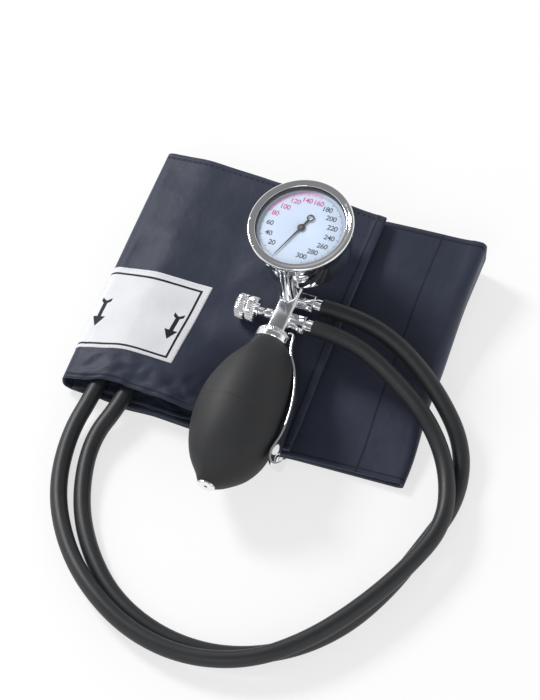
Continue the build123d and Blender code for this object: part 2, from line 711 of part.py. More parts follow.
def sector_gear():
    pitch = 2 * pi / (pinion_teeth * gear_ratio)
    first = -(sector_teeth - 1) + 0.5
    angles = [(first + i) * pitch for i in range(sector_teeth)]
    root = sector_radius - 1.2 * gear_module
    low, high = angles[0] - pitch / 2, angles[-1] + pitch / 2
    arc = ThreePointArc((root * cos(low), root * sin(low)), (root * cos((low + high) / 2), root * sin((low + high) / 2)),
                        (root * cos(high), root * sin(high)))
    sides = Polyline(arc @ 1, (0, 0), arc @ 0)
    plate = make_face(arc.edges() + sides.edges())
    window = (root - 2.2) * 0.62
    middle = (low + high) / 2
    plate -= Pos(window * cos(middle), window * sin(middle), 0) * Circle(2.4)
    gear = extrude(plate, gear_thickness)
    for angle in angles:
        gear += extrude(gear_tooth(sector_radius, angle), gear_thickness)
    gear += Cylinder(1.5, gear_thickness, align=(Align.CENTER, Align.CENTER, Align.MIN))
    tail_start_point = Vector(0, 0)
    tail_end = Vector(-sector_tail, sector_tail_side)
    along = (tail_end - tail_start_point).normalized()
    across = Vector(-along.Y, along.X) * (sector_tail_width / 2)
    corners = [tail_start_point + across, tail_end + across, tail_end - across, tail_start_point - across]
    gear += extrude(make_face(Polyline(*[(c.X, c.Y) for c in corners], close=True).edges()), gear_thickness)
    gear = Pos(0, 0, gear_level) * gear
    arbor = cylinder_z(sector_arbor_radius, lower_plate_level, upper_plate_level + plate_thickness)
    return in_gauge(Pos(sector_x, 0, 0) * (gear + arbor))


def plate(level, radius):
    disc = cylinder_z(radius, level, level + plate_thickness)
    disc -= cylinder_z(arbor_radius + running_gap, level, level + plate_thickness)
    return disc - cylinder_z(sector_arbor_radius + running_gap, level, level + plate_thickness, sector_x)


def lower_plate():
    body = plate(lower_plate_level, lower_plate_radius)
    body -= cylinder_z(capsule_pin_radius + 1.0, lower_plate_level, lower_plate_level + plate_thickness, capsule_x, capsule_y)
    top = lower_plate_level + plate_thickness
    for x in rocker_bearings:
        body += block_between((x - 0.6, rocker_side - 1.5, top), (x + 0.6, rocker_side + 1.5, rocker_level + 1.3))
        body -= cylinder_x(rocker_radius + running_gap, x - 0.6, x + 0.6, rocker_side, rocker_level)
    return in_gauge(body)


def rocking_shaft():
    shaft = cylinder_x(rocker_radius, rocker_span[0], rocker_span[1], rocker_side, rocker_level)
    arm_floor = rocker_level - rocker_radius
    shaft += block_between((capsule_arm_x - 0.9, rocker_side, arm_floor), (capsule_arm_x + 0.9, capsule_y + 0.6, arm_floor + 0.9))
    tip = rocker_level + sector_arm
    shaft += block_between((sector_arm_x - 0.5, rocker_side - 0.6, rocker_level), (sector_arm_x + 0.5, rocker_side + 0.6, tip))
    return in_gauge(shaft)


def capsule_sheet_solid(rim, crown):
    """One corrugated half of the pressure capsule, from its rim level to its crown level."""
    rise = crown - rim
    steps = ((0.0, 1.0), (4.2, 1.0), (5.6, 0.7), (7.4, 0.86), (9.2, 0.55), (11.0, 0.66), (12.6, 0.3), (13.4, 0.0), (capsule_radius, 0.0))
    line = [(r, rim + rise * h) for r, h in steps]
    lift = capsule_sheet if rise > 0 else -capsule_sheet
    body = [(r, 0, z) for r, z in line] + [(r, 0, z + lift) for r, z in reversed(line)]
    return Pos(capsule_x, capsule_y + gauge_y, 0) * revolve(make_face(Polyline(*body, close=True).edges()), Axis.Z)


def hairspring():
    """A flat spiral of half circles, fixed to its stud at the outer end."""
    centre, radius, side, edges_in, edges_out = 0.0, hairspring_start, 1, [], []
    for i in range(hairspring_half_turns):
        for r, bucket in ((radius - hairspring_wall / 2, edges_in), (radius + hairspring_wall / 2, edges_out)):
            bucket.append(ThreePointArc((centre - side * r, 0), (centre, side * r), (centre + side * r, 0)))
        radius += hairspring_pitch / 2
        centre -= side * hairspring_pitch / 2
        side = -side
    caps = [Line(edges_in[0] @ 0, edges_out[0] @ 0), Line(edges_in[-1] @ 1, edges_out[-1] @ 1)]
    face = make_face([e.edge() for e in edges_in + edges_out + caps])
    end = edges_out[-1] @ 1
    return in_gauge(Pos(0, 0, hairspring_level) * extrude(face, hairspring_height)), end


def pointer():
    reach, tail = pointer_reach, pointer_tail
    blade = make_face(Polyline((-tail + 1.2, 0.3), (0, 0.55), (reach - 2, 0.3), (reach, 0.0), (reach - 2, -0.3), (0, -0.55),
                               (-tail + 1.2, -0.3), close=True).edges())
    shape = blade + Circle(1.9) + (Pos(-tail, 0, 0) * (Circle(1.6) - Circle(0.85))) - Circle(arbor_radius)
    hub = cylinder_z(1.3, pointer_thickness, pointer_thickness + 0.3) - cylinder_z(arbor_radius, 0, 2)
    body = extrude(shape, pointer_thickness) + hub
    return in_gauge(Pos(0, 0, pointer_level) * Rot(0, 0, pointer_zero_angle) * body)


def group(solids):
    return Compound(children=[s.solid() for s in solids])


inside_floor = case_floor_level + case_floor
ring_places = [(standoff_ring * cos(radians(a)), standoff_ring * sin(radians(a))) for a in standoff_angles]
spring_shape, spring_end = hairspring()
pin_top = rocker_level - rocker_radius - open_pivot_gap
pin_bottom = capsule_top_level + capsule_sheet + seat_gap
handset_parts["pinion_arbor"] = pinion_arbor()
handset_parts["sector_gear"] = sector_gear()
handset_parts["lower_plate"] = lower_plate()
handset_parts["upper_plate"] = in_gauge(plate(upper_plate_level, upper_plate_radius))
handset_parts["plate_pillars"] = group([in_gauge(cylinder_z(pillar_radius, lower_plate_level + plate_thickness, upper_plate_level, x, y))
                                        for x, y in pillar_places])
handset_parts["case_standoffs"] = group([in_gauge(cylinder_z(standoff_radius, inside_floor, lower_plate_level, x, y))
                                         for x, y in ring_places])
handset_parts["rocking_shaft"] = rocking_shaft()
handset_parts["capsule_upper"] = capsule_sheet_solid(capsule_middle_level + seat_gap, capsule_top_level)
handset_parts["capsule_lower"] = capsule_sheet_solid(capsule_middle_level, capsule_floor_level + capsule_sheet)
handset_parts["capsule_boss"] = in_gauge(cylinder_z(capsule_boss_radius, inside_floor, capsule_floor_level, capsule_x, capsule_y))
handset_parts["capsule_pin"] = in_gauge(cylinder_z(capsule_pin_radius, pin_bottom, pin_top, capsule_x, capsule_y))
handset_parts["hairspring"] = spring_shape
handset_parts["spring_stud"] = in_gauge(cylinder_z(0.5, lower_plate_level + plate_thickness, hairspring_level + hairspring_height,
                                                   spring_end.X + (0.5 if spring_end.X > 0 else -0.5), spring_end.Y))
handset_parts["pointer"] = pointer()


# Neck from the block to the gauge, and the pipe from it to the capsule

def gauge_neck():
    foot = block_depth / 2
    lean = degrees(atan(neck_lean / neck_height))
    cone = Cone(neck_foot_radius, neck_top_radius, neck_height, align=(Align.CENTER, Align.CENTER, Align.MIN))
    cone = Pos(0, neck_y, foot) * Rot(-lean, 0, 0) * cone
    cone -= block_between((-20, 0, 0), (20, 60, foot))
    cone -= cylinder_z(case_radius + fit_gap, case_floor_level - fit_gap, 60, 0, gauge_y)
    cone += cylinder_y(neck_spigot_radius, neck_y, gauge_y - case_radius + case_wall + 1, 0, neck_spigot_level)
    cone -= cylinder_z(neck_bore_radius, foot, neck_spigot_level, 0, neck_y)
    return cone - cylinder_y(neck_bore_radius, neck_y, gauge_y, 0, neck_spigot_level)


def inlet_pipe():
    start = (0, gauge_y - case_radius + case_wall + 1, neck_spigot_level)
    toward = (capsule_x, gauge_y + capsule_y - capsule_boss_radius, neck_spigot_level - 0.6)
    bend = (capsule_x, gauge_y + capsule_y - capsule_boss_radius - 9, neck_spigot_level - 0.6)
    knee = (0, start[1] + 5, neck_spigot_level)
    path = FilletPolyline(start, knee, bend, toward, radius=3)
    return sweep(Plane(origin=start, z_dir=(0, 1, 0)) * Circle(1.2), path=path)


handset_parts["gauge_neck"] = gauge_neck()
handset_parts["inlet_pipe"] = inlet_pipe()

for name, shape in handset_parts.items():
    parts[name] = handset * shape


# Hoses: tubes of straight runs joined by tangent arcs

def tube_radii(points):
    runs = [(Vector(b) - Vector(a)).length for a, b in zip(points, points[1:])]
    radii = []
    for i in range(1, len(points) - 1):
        turn = (Vector(points[i]) - Vector(points[i - 1])).get_angle(Vector(points[i + 1]) - Vector(points[i]))
        radii.append(0.45 * min(runs[i - 1], runs[i]) / tan(radians(turn) / 2))
    return radii, runs


def hose(name, route):
    start = (handset * Pos(connector_reach, connector_ys[name], 0)).position
    lead = (handset * Pos(connector_reach + hose_lead, connector_ys[name], 0)).position
    x, z = port_places[name]
    end = (x, cuff_front + bladder_stations[0], z)
    points = [tuple(start), tuple(lead), *route, end]
    radii, runs = tube_radii(points)
    path = FilletPolyline(*points, radius=radii)
    first = Vector(points[1]) - Vector(points[0])
    tube = sweep(Plane(origin=start, z_dir=first) * Circle(hose_diameter / 2), path=path)
    length = path.length
    share = tube.volume / (pi * hose_diameter ** 2 / 4 * length)
    print(f"hose_{name}: length {length:.1f}, volume share {share:.4f}, least radius {min(radii):.1f}, runs {min(runs):.0f}-{max(runs):.0f}")
    print("  radii", [round(r) for r in radii])
    return tube


parts["hose_upper"] = hose("upper", upper_hose_route)
parts["hose_lower"] = hose("lower", lower_hose_route)

os.makedirs("parts", exist_ok=True)
for name, shape in parts.items():
    export_step(shape, f"parts/{name}.step")
box = Compound(children=[s for n, s in parts.items() if not n.startswith("hose_upper") and not n.startswith("hose_lower")]).bounding_box()
print("box", [round(v, 2) for v in (*box.min, *box.max)], "nodes", len(parts))
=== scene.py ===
import bisect
import math

import bmesh
import bpy
from mathutils import Matrix, Vector, geometry, noise


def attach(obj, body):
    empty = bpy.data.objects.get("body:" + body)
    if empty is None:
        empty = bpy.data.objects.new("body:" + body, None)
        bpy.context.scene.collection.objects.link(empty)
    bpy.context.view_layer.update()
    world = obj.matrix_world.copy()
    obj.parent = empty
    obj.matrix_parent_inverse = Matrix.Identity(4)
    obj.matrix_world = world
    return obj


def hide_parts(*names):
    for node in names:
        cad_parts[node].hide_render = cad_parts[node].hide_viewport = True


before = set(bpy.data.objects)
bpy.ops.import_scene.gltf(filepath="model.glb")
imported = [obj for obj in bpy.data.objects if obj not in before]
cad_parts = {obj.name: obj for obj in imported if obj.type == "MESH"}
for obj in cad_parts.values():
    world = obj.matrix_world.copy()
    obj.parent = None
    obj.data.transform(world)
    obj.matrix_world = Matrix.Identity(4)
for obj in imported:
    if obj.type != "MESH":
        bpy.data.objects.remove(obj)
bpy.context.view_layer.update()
mm = 0.001
print("frame loaded:", len(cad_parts), "nodes")

# how the handset lies on the cuff. Its own axes: Y from the bulb to the gauge, X to the hoses, Z out of the dial
lying = {"place": (3.77, -0.85, 37.5), "pitch": 4.4, "roll": -6.5}
handset = (Matrix.Translation(Vector(lying["place"]) * mm)
           @ Matrix.Rotation(math.radians(lying["pitch"]), 4, "X")
           @ Matrix.Rotation(math.radians(lying["roll"]), 4, "Y"))
gaugeCentre = (0.0, 56.0, 0.0)


def handsetPoint(x, y, z):
    return handset @ (Vector((x, y, z)) * mm)


def newObject(name, data):
    made = bpy.data.objects.new(name, data)
    bpy.context.collection.objects.link(made)
    return made


# camera at the photograph's angle
view = {"place": (0.33576, -0.82669, 1.44931), "turn": (32.0, 0.0, 22.0), "lens": 149.14, "sensor": 36.0}
camera = newObject("camera", bpy.data.cameras.new("camera"))
camera.data.lens = view["lens"]
camera.data.sensor_width = view["sensor"]
camera.location = view["place"]
camera.rotation_euler = [math.radians(a) for a in view["turn"]]
bpy.context.scene.camera = camera


# shader maths: a wire is one output socket, and Python's operators add Math nodes to it
class Wire:
    def __init__(self, finish, socket):
        self.finish, self.socket = finish, socket

    def maths(self, operation, first, second=0.0):
        return self.finish.add("ShaderNodeMath", {"operation": operation}, {0: first, 1: second})

    def __add__(self, other):
        return self.maths("ADD", self, other)

    def __sub__(self, other):
        return self.maths("SUBTRACT", self, other)

    def __rsub__(self, other):
        return self.maths("SUBTRACT", other, self)

    def __mul__(self, other):
        return self.maths("MULTIPLY", self, other)

    def __truediv__(self, other):
        return self.maths("DIVIDE", self, other)

    def __pow__(self, other):
        return self.maths("POWER", self, other)

    __radd__ = __add__
    __rmul__ = __mul__

    def wave(self, period):
        return self.maths("SINE", self * (2 * math.pi / period))

    def size(self):
        return self.maths("ABSOLUTE", self)

    def near(self, value, width):
        # 1 on the line at value, fading to 0 at width from it
        return (1.0 - (self - value).size() / width).larger(0.0)

    def above(self, value, width):
        # 0 below value, 1 above value + width
        return self.finish.add("ShaderNodeMapRange", {"interpolation_type": "SMOOTHSTEP"},
                               {"Value": self, "From Min": value, "From Max": value + width})

    def larger(self, other):
        return self.maths("MAXIMUM", self, other)

    def smaller(self, other):
        return self.maths("MINIMUM", self, other)


class NodeTree:
    def __init__(self, tree):
        self.tree = tree

    def add(self, kind, settings=None, values=None, output=0):
        node = self.tree.nodes.new(kind)
        for key, value in (settings or {}).items():
            setattr(node, key, value)
        for key, value in (values or {}).items():
            self.feed(node.inputs[key], value)
        return Wire(self, node.outputs[output])

    def feed(self, socket, value):
        if isinstance(value, Wire):
            self.tree.links.new(value.socket, socket)
        else:
            socket.default_value = value

    def coordinates(self, place=None):
        here = self.add("ShaderNodeTexCoord", output=3)
        if place is None:
            return here
        return self.add("ShaderNodeMapping", {"vector_type": "TEXTURE"},
                        {"Vector": here, "Location": place.to_translation(), "Rotation": place.to_euler("XYZ")})

    def cloth(self):
        return self.add("ShaderNodeUVMap", {"uv_map": "cloth"})

    def split(self, vector):
        node = self.add("ShaderNodeSeparateXYZ", values={0: vector}).socket.node
        return [Wire(self, socket) for socket in node.outputs]

    def noise(self, where, scale, detail=3.0, roughness=0.5):
        return self.add("ShaderNodeTexNoise", values={"Vector": where, "Scale": scale, "Detail": detail,
                                                      "Roughness": roughness})

    def mix(self, factor, first, second):
        first, second = [c if isinstance(c, Wire) else (*c, 1.0) for c in (first, second)]
        return self.add("ShaderNodeMix", {"data_type": "RGBA"}, {0: factor, 6: first, 7: second}, output=2)

    def bump(self, height, depth, strength=1.0, normal=None):
        values = {"Height": height, "Distance": depth, "Strength": strength}
        if normal is not None:
            values["Normal"] = normal
        return self.add("ShaderNodeBump", values=values)


class Finish(NodeTree):
    def __init__(self, name, **sockets):
        self.material = bpy.data.materials.new(name)
        self.material.use_nodes = True
        super().__init__(self.material.node_tree)
        self.shader = self.tree.nodes["Principled BSDF"]
        self.set(**sockets)

    def set(self, **sockets):
        for key, value in sockets.items():
            self.feed(self.shader.inputs[key.replace("_", " ")], value)


# mesh helpers
def keep(name, bm, finish, nodes=(), place=None, sharp=None, body="set_body"):
    mesh = bpy.data.meshes.new(name)
    if place is not None:
        bmesh.ops.transform(bm, matrix=place, verts=bm.verts)
    for face in bm.faces:
        face.smooth = True
    bm.to_mesh(mesh)
    bm.free()
    if sharp is not None:
        mesh.set_sharp_from_angle(angle=math.radians(sharp))
    mesh.materials.append(finish.material)
    piece = newObject(name, mesh)
    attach(piece, body)
    if nodes:
        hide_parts(*nodes)
    return piece


def gridOf(columns, rows):
    bm = bmesh.new()
    bmesh.ops.create_grid(bm, x_segments=columns, y_segments=rows, size=0.5)
    return bm


def box(bm, size, middle):
    made = bmesh.ops.create_cube(bm, size=1.0)["verts"]
    bmesh.ops.scale(bm, vec=Vector(size) * mm, verts=made)
    bmesh.ops.translate(bm, vec=Vector(middle) * mm, verts=made)
    return made


def addTo(bm, other):
    holder = bpy.data.meshes.new("holder")
    other.to_mesh(holder)
    other.free()
    bm.from_mesh(holder)
    bpy.data.meshes.remove(holder)


def faceOut(bm):
    bmesh.ops.recalc_face_normals(bm, faces=bm.faces)


def wallOf(piece, thickness, even=False):
    solid = piece.modifiers.new("wall", "SOLIDIFY")
    solid.thickness = thickness * mm
    solid.offset = 0.0
    solid.use_even_offset = even


def smoothLine(points, steps=6):
    # an even curve through the points, as a Bezier with automatic handles gives it
    points = [Vector(p) for p in points]
    line = []
    for i, (start, end) in enumerate(zip(points, points[1:])):
        before, after = points[max(i - 1, 0)], points[min(i + 2, len(points) - 1)]
        handles = start + (end - before) / 6, end - (after - start) / 6
        line += geometry.interpolate_bezier(start, *handles, end, steps)[:-1]
    return line + [points[-1]]


def lathe(bm, outline, axis, centre=(0, 0, 0), steps=96):
    # outline is (radius, place along the axis) in millimetres, and is closed
    along = {"X": Vector((1, 0, 0)), "Y": Vector((0, 1, 0)), "Z": Vector((0, 0, 1))}[axis]
    out = Vector((0, 0, 1)) if axis == "X" else Vector((1, 0, 0))
    verts = [bm.verts.new((Vector(centre) + out * r + along * a) * mm) for r, a in outline]
    edges = [bm.edges.new(pair) for pair in zip(verts, verts[1:] + verts[:1])]
    bmesh.ops.spin(bm, geom=verts + edges, cent=Vector(centre) * mm, axis=along, angle=2 * math.pi, steps=steps,
                   use_merge=True)
    bmesh.ops.remove_doubles(bm, verts=bm.verts, dist=1e-7)
    bmesh.ops.dissolve_degenerate(bm, dist=1e-7, edges=bm.edges)
    faceOut(bm)


def bevelEdges(bm, edges, width, segments):
    bmesh.ops.bevel(bm, geom=edges, offset=width * mm, offset_type="OFFSET", affect="EDGES", segments=segments,
                    profile=0.5, material=-1, clamp_overlap=True)


def softenEdges(bm, width, degrees=30.0, segments=3):
    corners = [e for e in bm.edges if len(e.link_faces) == 2 and e.calc_face_angle(0) > math.radians(degrees)]
    bevelEdges(bm, corners, width, segments)


def turnedPiece(name, outline, axis, finish, nodes=(), centre=(0, 0, 0), steps=96, soft=0.15,
                body="set_body"):
    bm = bmesh.new()
    lathe(bm, outline, axis, centre, steps)
    if soft:
        softenEdges(bm, soft)
    return keep(name, bm, finish, nodes, handset, 40, body)


# finishes
def rubberFinish(name, shade, gloss, place=None, seam=None):
    finish = Finish(name, Specular_IOR_Level=0.42)
    where = finish.coordinates(place)
    grain = finish.noise(where, 2600.0, 2.0)
    dust = finish.noise(where, 55.0, 4.0, 0.6)
    finish.set(Base_Color=finish.mix(dust, [c * 0.8 for c in shade], [c * 1.35 for c in shade]),
               Roughness=gloss - 0.06 + dust * 0.14)
    height = grain * 0.5
    if seam:
        # the mould's parting line, worn away in places
        x, y, z = finish.split(where)
        line = y.near(seam["at"], seam["width"]) * dust.above(0.35, 0.2)
        height = height + line * seam["height"]
    finish.set(Normal=finish.bump(height, 0.00006, 0.5))
    return finish


def metalFinish(name, colour, gloss, wear=0.1, marks=0.25):
    finish = Finish(name, Metallic=1.0)
    where = finish.coordinates()
    smears = finish.noise(where, 120.0, 4.0, 0.6)
    scratch = finish.noise(finish.add("ShaderNodeVectorMath", {"operation": "MULTIPLY"},
                                      {0: where, 1: (300.0, 2600.0, 900.0)}), 1.0, 2.0)
    finish.set(Base_Color=finish.mix(smears, [c * (1 - wear) for c in colour], colour),
               Roughness=gloss + smears.above(0.45, 0.3) * 0.07,
               Normal=finish.bump(scratch, 0.00001, marks))
    return finish


hoseFinish = rubberFinish("hoseRubber", (0.0150, 0.0160, 0.0182), 0.46)
mouldLine = {"at": -0.0535, "width": 0.0010, "height": 9.0}
bulbFinish = rubberFinish("bulbRubber", (0.0150, 0.0156, 0.0172), 0.60, handset, mouldLine)
bladderFinish = rubberFinish("bladderRubber", (0.022, 0.022, 0.024), 0.5)
sealFinish = rubberFinish("sealRubber", (0.012, 0.012, 0.012), 0.45)
chromeFinish = metalFinish("chromePlate", (0.90, 0.91, 0.93), 0.05, 0.05)
satinFinish = metalFinish("satinNickel", (0.62, 0.63, 0.65), 0.14)
steelFinish = metalFinish("machinedSteel", (0.56, 0.57, 0.58), 0.22)
brassFinish = metalFinish("clockBrass", (0.72, 0.53, 0.24), 0.25, 0.2)

# hoses: the routes are in metres, from the connector on
hoseSize = {"diameter": 0.010, "length": 0.550, "lead": 22.0, "face": 20.2}  # face: the connector's end
hoseRoutes = {
    "upper": [(0.073, 0.0235, 0.037), (0.103, 0.0085, 0.024), (0.1268, -0.0125, 0.01), (0.1345, -0.045, 0.0051),
              (0.1262, -0.08, 0.0052), (0.1179, -0.1125, 0.0051), (0.1029, -0.1444, 0.0051), (0.079, -0.1694, 0.0051),
              (0.0469, -0.1848, 0.0051), (0.0124, -0.1863, 0.0051), (-0.0212, -0.1747, 0.0051),
              (-0.047, -0.1518, 0.0051), (-0.0654, -0.123, 0.0051), (-0.0745, -0.087, 0.008),
              (-0.0665, -0.059, 0.0132), (-0.0665, -0.037, 0.0132)],
    "lower": [(0.0735, 0.005, 0.034), (0.104, -0.009, 0.0212), (0.125, -0.034, 0.015), (0.1345, -0.0672, 0.0153),
              (0.1238, -0.1018, 0.0154), (0.109, -0.1328, 0.0155), (0.0898, -0.1621, 0.0154),
              (0.0641, -0.1853, 0.014), (0.03, -0.1956, 0.0118), (-0.0047, -0.1917, 0.0106),
              (-0.0361, -0.1757, 0.0096), (-0.0613, -0.1526, 0.0064), (-0.0804, -0.1223, 0.0052),
              (-0.0874, -0.0882, 0.0088), (-0.084, -0.059, 0.0132), (-0.084, -0.037, 0.0132)],
}
connectorHeights = {"upper": 28.2, "lower": 13.6}


def hose(side):
    start = handsetPoint(hoseSize["face"], connectorHeights[side], 0)
    lead = handsetPoint(hoseSize["face"] + hoseSize["lead"], connectorHeights[side], 0)
    route = [start, lead] + [Vector(p) for p in hoseRoutes[side]]
    curve = bpy.data.curves.new("hose_" + side, "CURVE")
    curve.dimensions = "3D"
    spline = curve.splines.new("NURBS")
    spline.points.add(len(route) - 1)
    for point, place in zip(spline.points, route):
        point.co = (*place, 1.0)
    spline.order_u = 3
    spline.use_endpoint_u = True
    spline.resolution_u = 14
    curve.bevel_depth = hoseSize["diameter"] / 2
    curve.bevel_resolution = 6
    curve.use_fill_caps = True
    curve.materials.append(hoseFinish.material)
    piece = newObject("rubberHose_" + side, curve)
    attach(piece, "set_body")
    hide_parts("hose_" + side)


for side in hoseRoutes:
    hose(side)
print("hoses laid")

# folded cuff: two cloths, each one strip folded over twice. Millimetres, stations run from its front edge.
cuff = {"width": 155.0, "front": -53.0, "wall": 0.8, "tailStart": -73.5, "leafEnd": 35.0, "middle": 35.5,
        "hoseArch": -75.5, "label": -38.5, "dent": 3.5, "rows": 100,
        "columns": (56, 12, 36, 40, 14, 16, 22, 28, 24), "smoothing": 14, "middleCrumple": 0.45, "hem": 0.55,
        "clear": 0.8, "innerBelow": 1.05, "bends": (18.0, 14.0, 20.0, 20.0)}
outerCloth = {
    "tail": 1.5, "right": 101.0, "left": -101.75, "leftBend": 0.42,
    "heights": {
        0: (5.4, 2.5, 2.5, 13.5, 21.5, 20.5, 5.6, 12.0), 16: (7.5, 4.0, 3.0, 17.0, 24.0, 22.5, 6.5, 13.0),
        28: (9.5, 6.5, 3.3, 18.0, 25.0, 23.5, 10.1, 15.5), 40: (11.8, 9.2, 4.2, 20.0, 26.0, 24.2, 15.5, 18.5),
        54: (14.0, 12.0, 5.0, 21.5, 27.0, 25.3, 25.8, 22.0), 101: (21.0, 21.0, 11.0, 27.0, 34.0, 32.5, 34.5, 30.5),
        155: (29.5, 31.0, 20.5, 31.0, 37.0, 38.0, 38.0, 37.0)}}
innerCloth = {
    "tail": 0.45, "right": 102.1, "left": -95.65, "leftBend": 0.46,
    "heights": {
        0: (6.5, 3.6, 3.6, 5.5, 5.7, 5.4, 4.6, 10.9), 16: (8.6, 5.1, 4.6, 6.1, 6.3, 6.2, 5.5, 11.9),
        28: (10.6, 7.6, 5.4, 7.0, 7.4, 8.0, 9.0, 14.4), 40: (12.9, 10.3, 8.5, 11.5, 13.0, 12.0, 14.5, 17.4),
        54: (15.1, 13.1, 12.5, 16.0, 18.6, 16.0, 20.0, 20.9), 101: (22.1, 22.1, 19.5, 23.0, 26.5, 25.0, 27.0, 29.4),
        155: (30.6, 32.1, 21.6, 29.9, 35.9, 36.9, 36.9, 35.9)}}


def ramp(value, start, end):
    share = min(1.0, max(0.0, (value - start) / (end - start)))
    return share * share * (3 - 2 * share)


def heightsAt(table, station):
    # heights between the stations, without a crease at any of them
    rows = sorted(table)
    i = max(k for k in range(len(rows) - 1) if rows[k] <= station or k == 0)
    low, high = rows[i], rows[i + 1]
    share = (station - low) / (high - low)
    before, after = rows[max(i - 1, 0)], rows[min(i + 2, len(rows) - 1)]
    heights = []
    for a, b, c, d in zip(table[before], table[low], table[high], table[after]):
        slopeLow = (c - a) / (high - before) * (high - low)
        slopeHigh = (d - b) / (after - low) * (high - low)
        s2, s3 = share * share, share ** 3
        heights.append(b * (2 * s3 - 3 * s2 + 1) + slopeLow * (s3 - 2 * s2 + share)
                       + c * (3 * s2 - 2 * s3) + slopeHigh * (s3 - s2))
    return heights


def foldPath(cloth, station):
    # one section of the cloth, as (x, z) points with the same count between its corners at every station
    right, middle, low, high, hoses, label, dent, end = heightsAt(cloth["heights"], station)
    corners = [Vector(p) for p in (
        (cuff["tailStart"], cloth["tail"]), (cloth["right"], cloth["tail"]), (cloth["right"], right),
        (cuff["middle"], middle), (cloth["left"], low), (cloth["left"], high), (cuff["hoseArch"], hoses),
        (cuff["label"], label), (cuff["dent"], dent), (cuff["leafEnd"], end))]
    bendRight, bendLeft = 0.47 * (right - cloth["tail"]), cloth["leftBend"] * (high - low)
    bendTop = min(bendRight, 8.5 - 4.5 * ramp(station, 95.0, 145.0))  # the fold is pressed sharper towards the back
    bendMiddle, *bendsAbove = cuff["bends"]
    bends = [bendRight, bendTop, bendMiddle, bendLeft, bendLeft, *bendsAbove]
    line, marks = [corners[0]], [0]
    for before, here, after, bend in zip(corners, corners[1:], corners[2:], bends):
        arrive, leave = (here - before).normalized(), (after - here).normalized()
        turn = arrive.angle(leave, 0.0)
        reach = min(bend * math.tan(turn / 2), 0.47 * (here - before).length, 0.47 * (after - here).length)
        handle = reach * (4 / 3) * math.tan(turn / 4) / max(math.tan(turn / 2), 1e-6)
        arc = geometry.interpolate_bezier(here - arrive * reach, here - arrive * (reach - handle),
                                          here + leave * (reach - handle), here + leave * reach, 13)
        line += arc
        marks.append(len(line) - 7)
    line.append(corners[-1])
    marks.append(len(line) - 1)
    along = [0.0]
    for a, b in zip(line, line[1:]):
        along.append(along[-1] + (b - a).length)
    points, k = [], 0
    for start, end, count in zip(marks, marks[1:], cuff["columns"]):
        for step in range(count):
            goal = along[start] + (along[end] - along[start]) * step / count
            while along[k + 1] < goal:
                k += 1
            span = along[k + 1] - along[k]
            points.append(line[k].lerp(line[k + 1], (goal - along[k]) / span if span else 0.0))
    return points + [line[-1]], along[-1], [along[m] for m in marks]


bulbOutline = [(9.6, -3.0), (13.2, -6.5), (16.9, -11.0), (20.3, -16.7), (23.4, -25.0), (25.5, -35.0), (26.4, -46.0),
               (25.9, -60.0), (23.4, -74.0), (18.6, -86.0), (11.5, -95.0), (5.6, -99.55)]
handsetBack = handset.inverted()


def bulbRadius(y):
    for (ra, ya), (rb, yb) in zip(bulbOutline, bulbOutline[1:]):
        if yb <= y <= ya:
            return ra + (rb - ra) * (ya - y) / (ya - yb)
    return 0.0


def restUnderHandset(point, gap):
    # lowers a point of the cloth in small steps until it is clear of the bulb
    for _ in range(200):
        local = handsetBack @ point / mm
        if math.hypot(local.x, local.z) >= bulbRadius(local.y) + gap or local.z > 12:
            return point
        point = point - Vector((0, 0, 0.15 * mm))
    return point


# the strip isn't folded quite square: its right fold runs askew, and the front left corner is pulled forward.
# A pair is the shift at the front and what is added towards the back.
askew = {"leftIn": 3.5, "rightIn": (3.8, 3.2), "rightBack": (6.2, 3.2), "mouth": 2.0, "corner": 3.8,
         "front": 1.6, "frontRight": 2.3, "frontLeft": 2.2}


def drift(x, station, upper=False):
    front = 1.0 - ramp(station, 0.0, 62.0)
    right = 0.0 if upper else min(1.1, max(0.0, (x - 24.0) / 74.0))
    near, more = askew["rightIn"]
    dx = -askew["leftIn"] * ramp(-x, 40.0, 98.0)
    dx -= (near + more * ramp(station, 60.0, 130.0)) * right * ramp(station, 8.0, 60.0)
    near, more = askew["rightBack"]
    dy = (near + more * ramp(station, 60.0, 150.0)) * right
    if upper:
        mouth = ramp(x, -42.0, -18.0) * (1.0 - ramp(x, 5.0, 30.0))
        dy += front * (askew["mouth"] * mouth - askew["corner"] * ramp(-x, 70.0, 96.0))
    else:
        sides = askew["frontLeft"] * ramp(-x, 46.0, 70.0) - askew["frontRight"] * ramp(x, 5.0, 40.0)
        dy -= front * (askew["front"] + sides)
    return dx, dy


# crumples: height in millimetres, slant and length of the waves along x and y, and the slice of the noise
crumples = {"waves": ((1.7, 0.5, -0.4, 40.0, 46.0, 2.3), (0.9, 0.3, -0.2, 24.0, 15.0, 7.1),
                      (0.22, 0.0, 0.0, 11.0, 16.0, 5.0), (0.07, 0.0, 0.0, 5.0, 5.0, 1.0)),
            "ridges": ((2.6, 1.0, -0.25, 15.0, 9.0, 9.0), (1.5, -0.6, 0.0, 8.0, 12.0, 4.0)),
            "ridgeBase": 1.3, "mouth": 1.2}


def wrinkles(x, y, station):
    # lift of the cloth in millimetres at a place on the top or middle leaf
    def wave(slantX, slantY, longX, longY, layer):
        return noise.noise(Vector(((x + y * slantX) / longX, (y + x * slantY) / longY, layer)))

    lift = sum(height * wave(*shape) for height, *shape in crumples["waves"])
    ridges = sum(height * (0.5 - abs(wave(*shape))) for height, *shape in crumples["ridges"])
    mouth = crumples["mouth"] * (1.0 - ramp(station, 8.0, 26.0)) * (1.0 - ramp(x, -5.0, 20.0))
    return lift + mouth * (ridges - crumples["ridgeBase"])


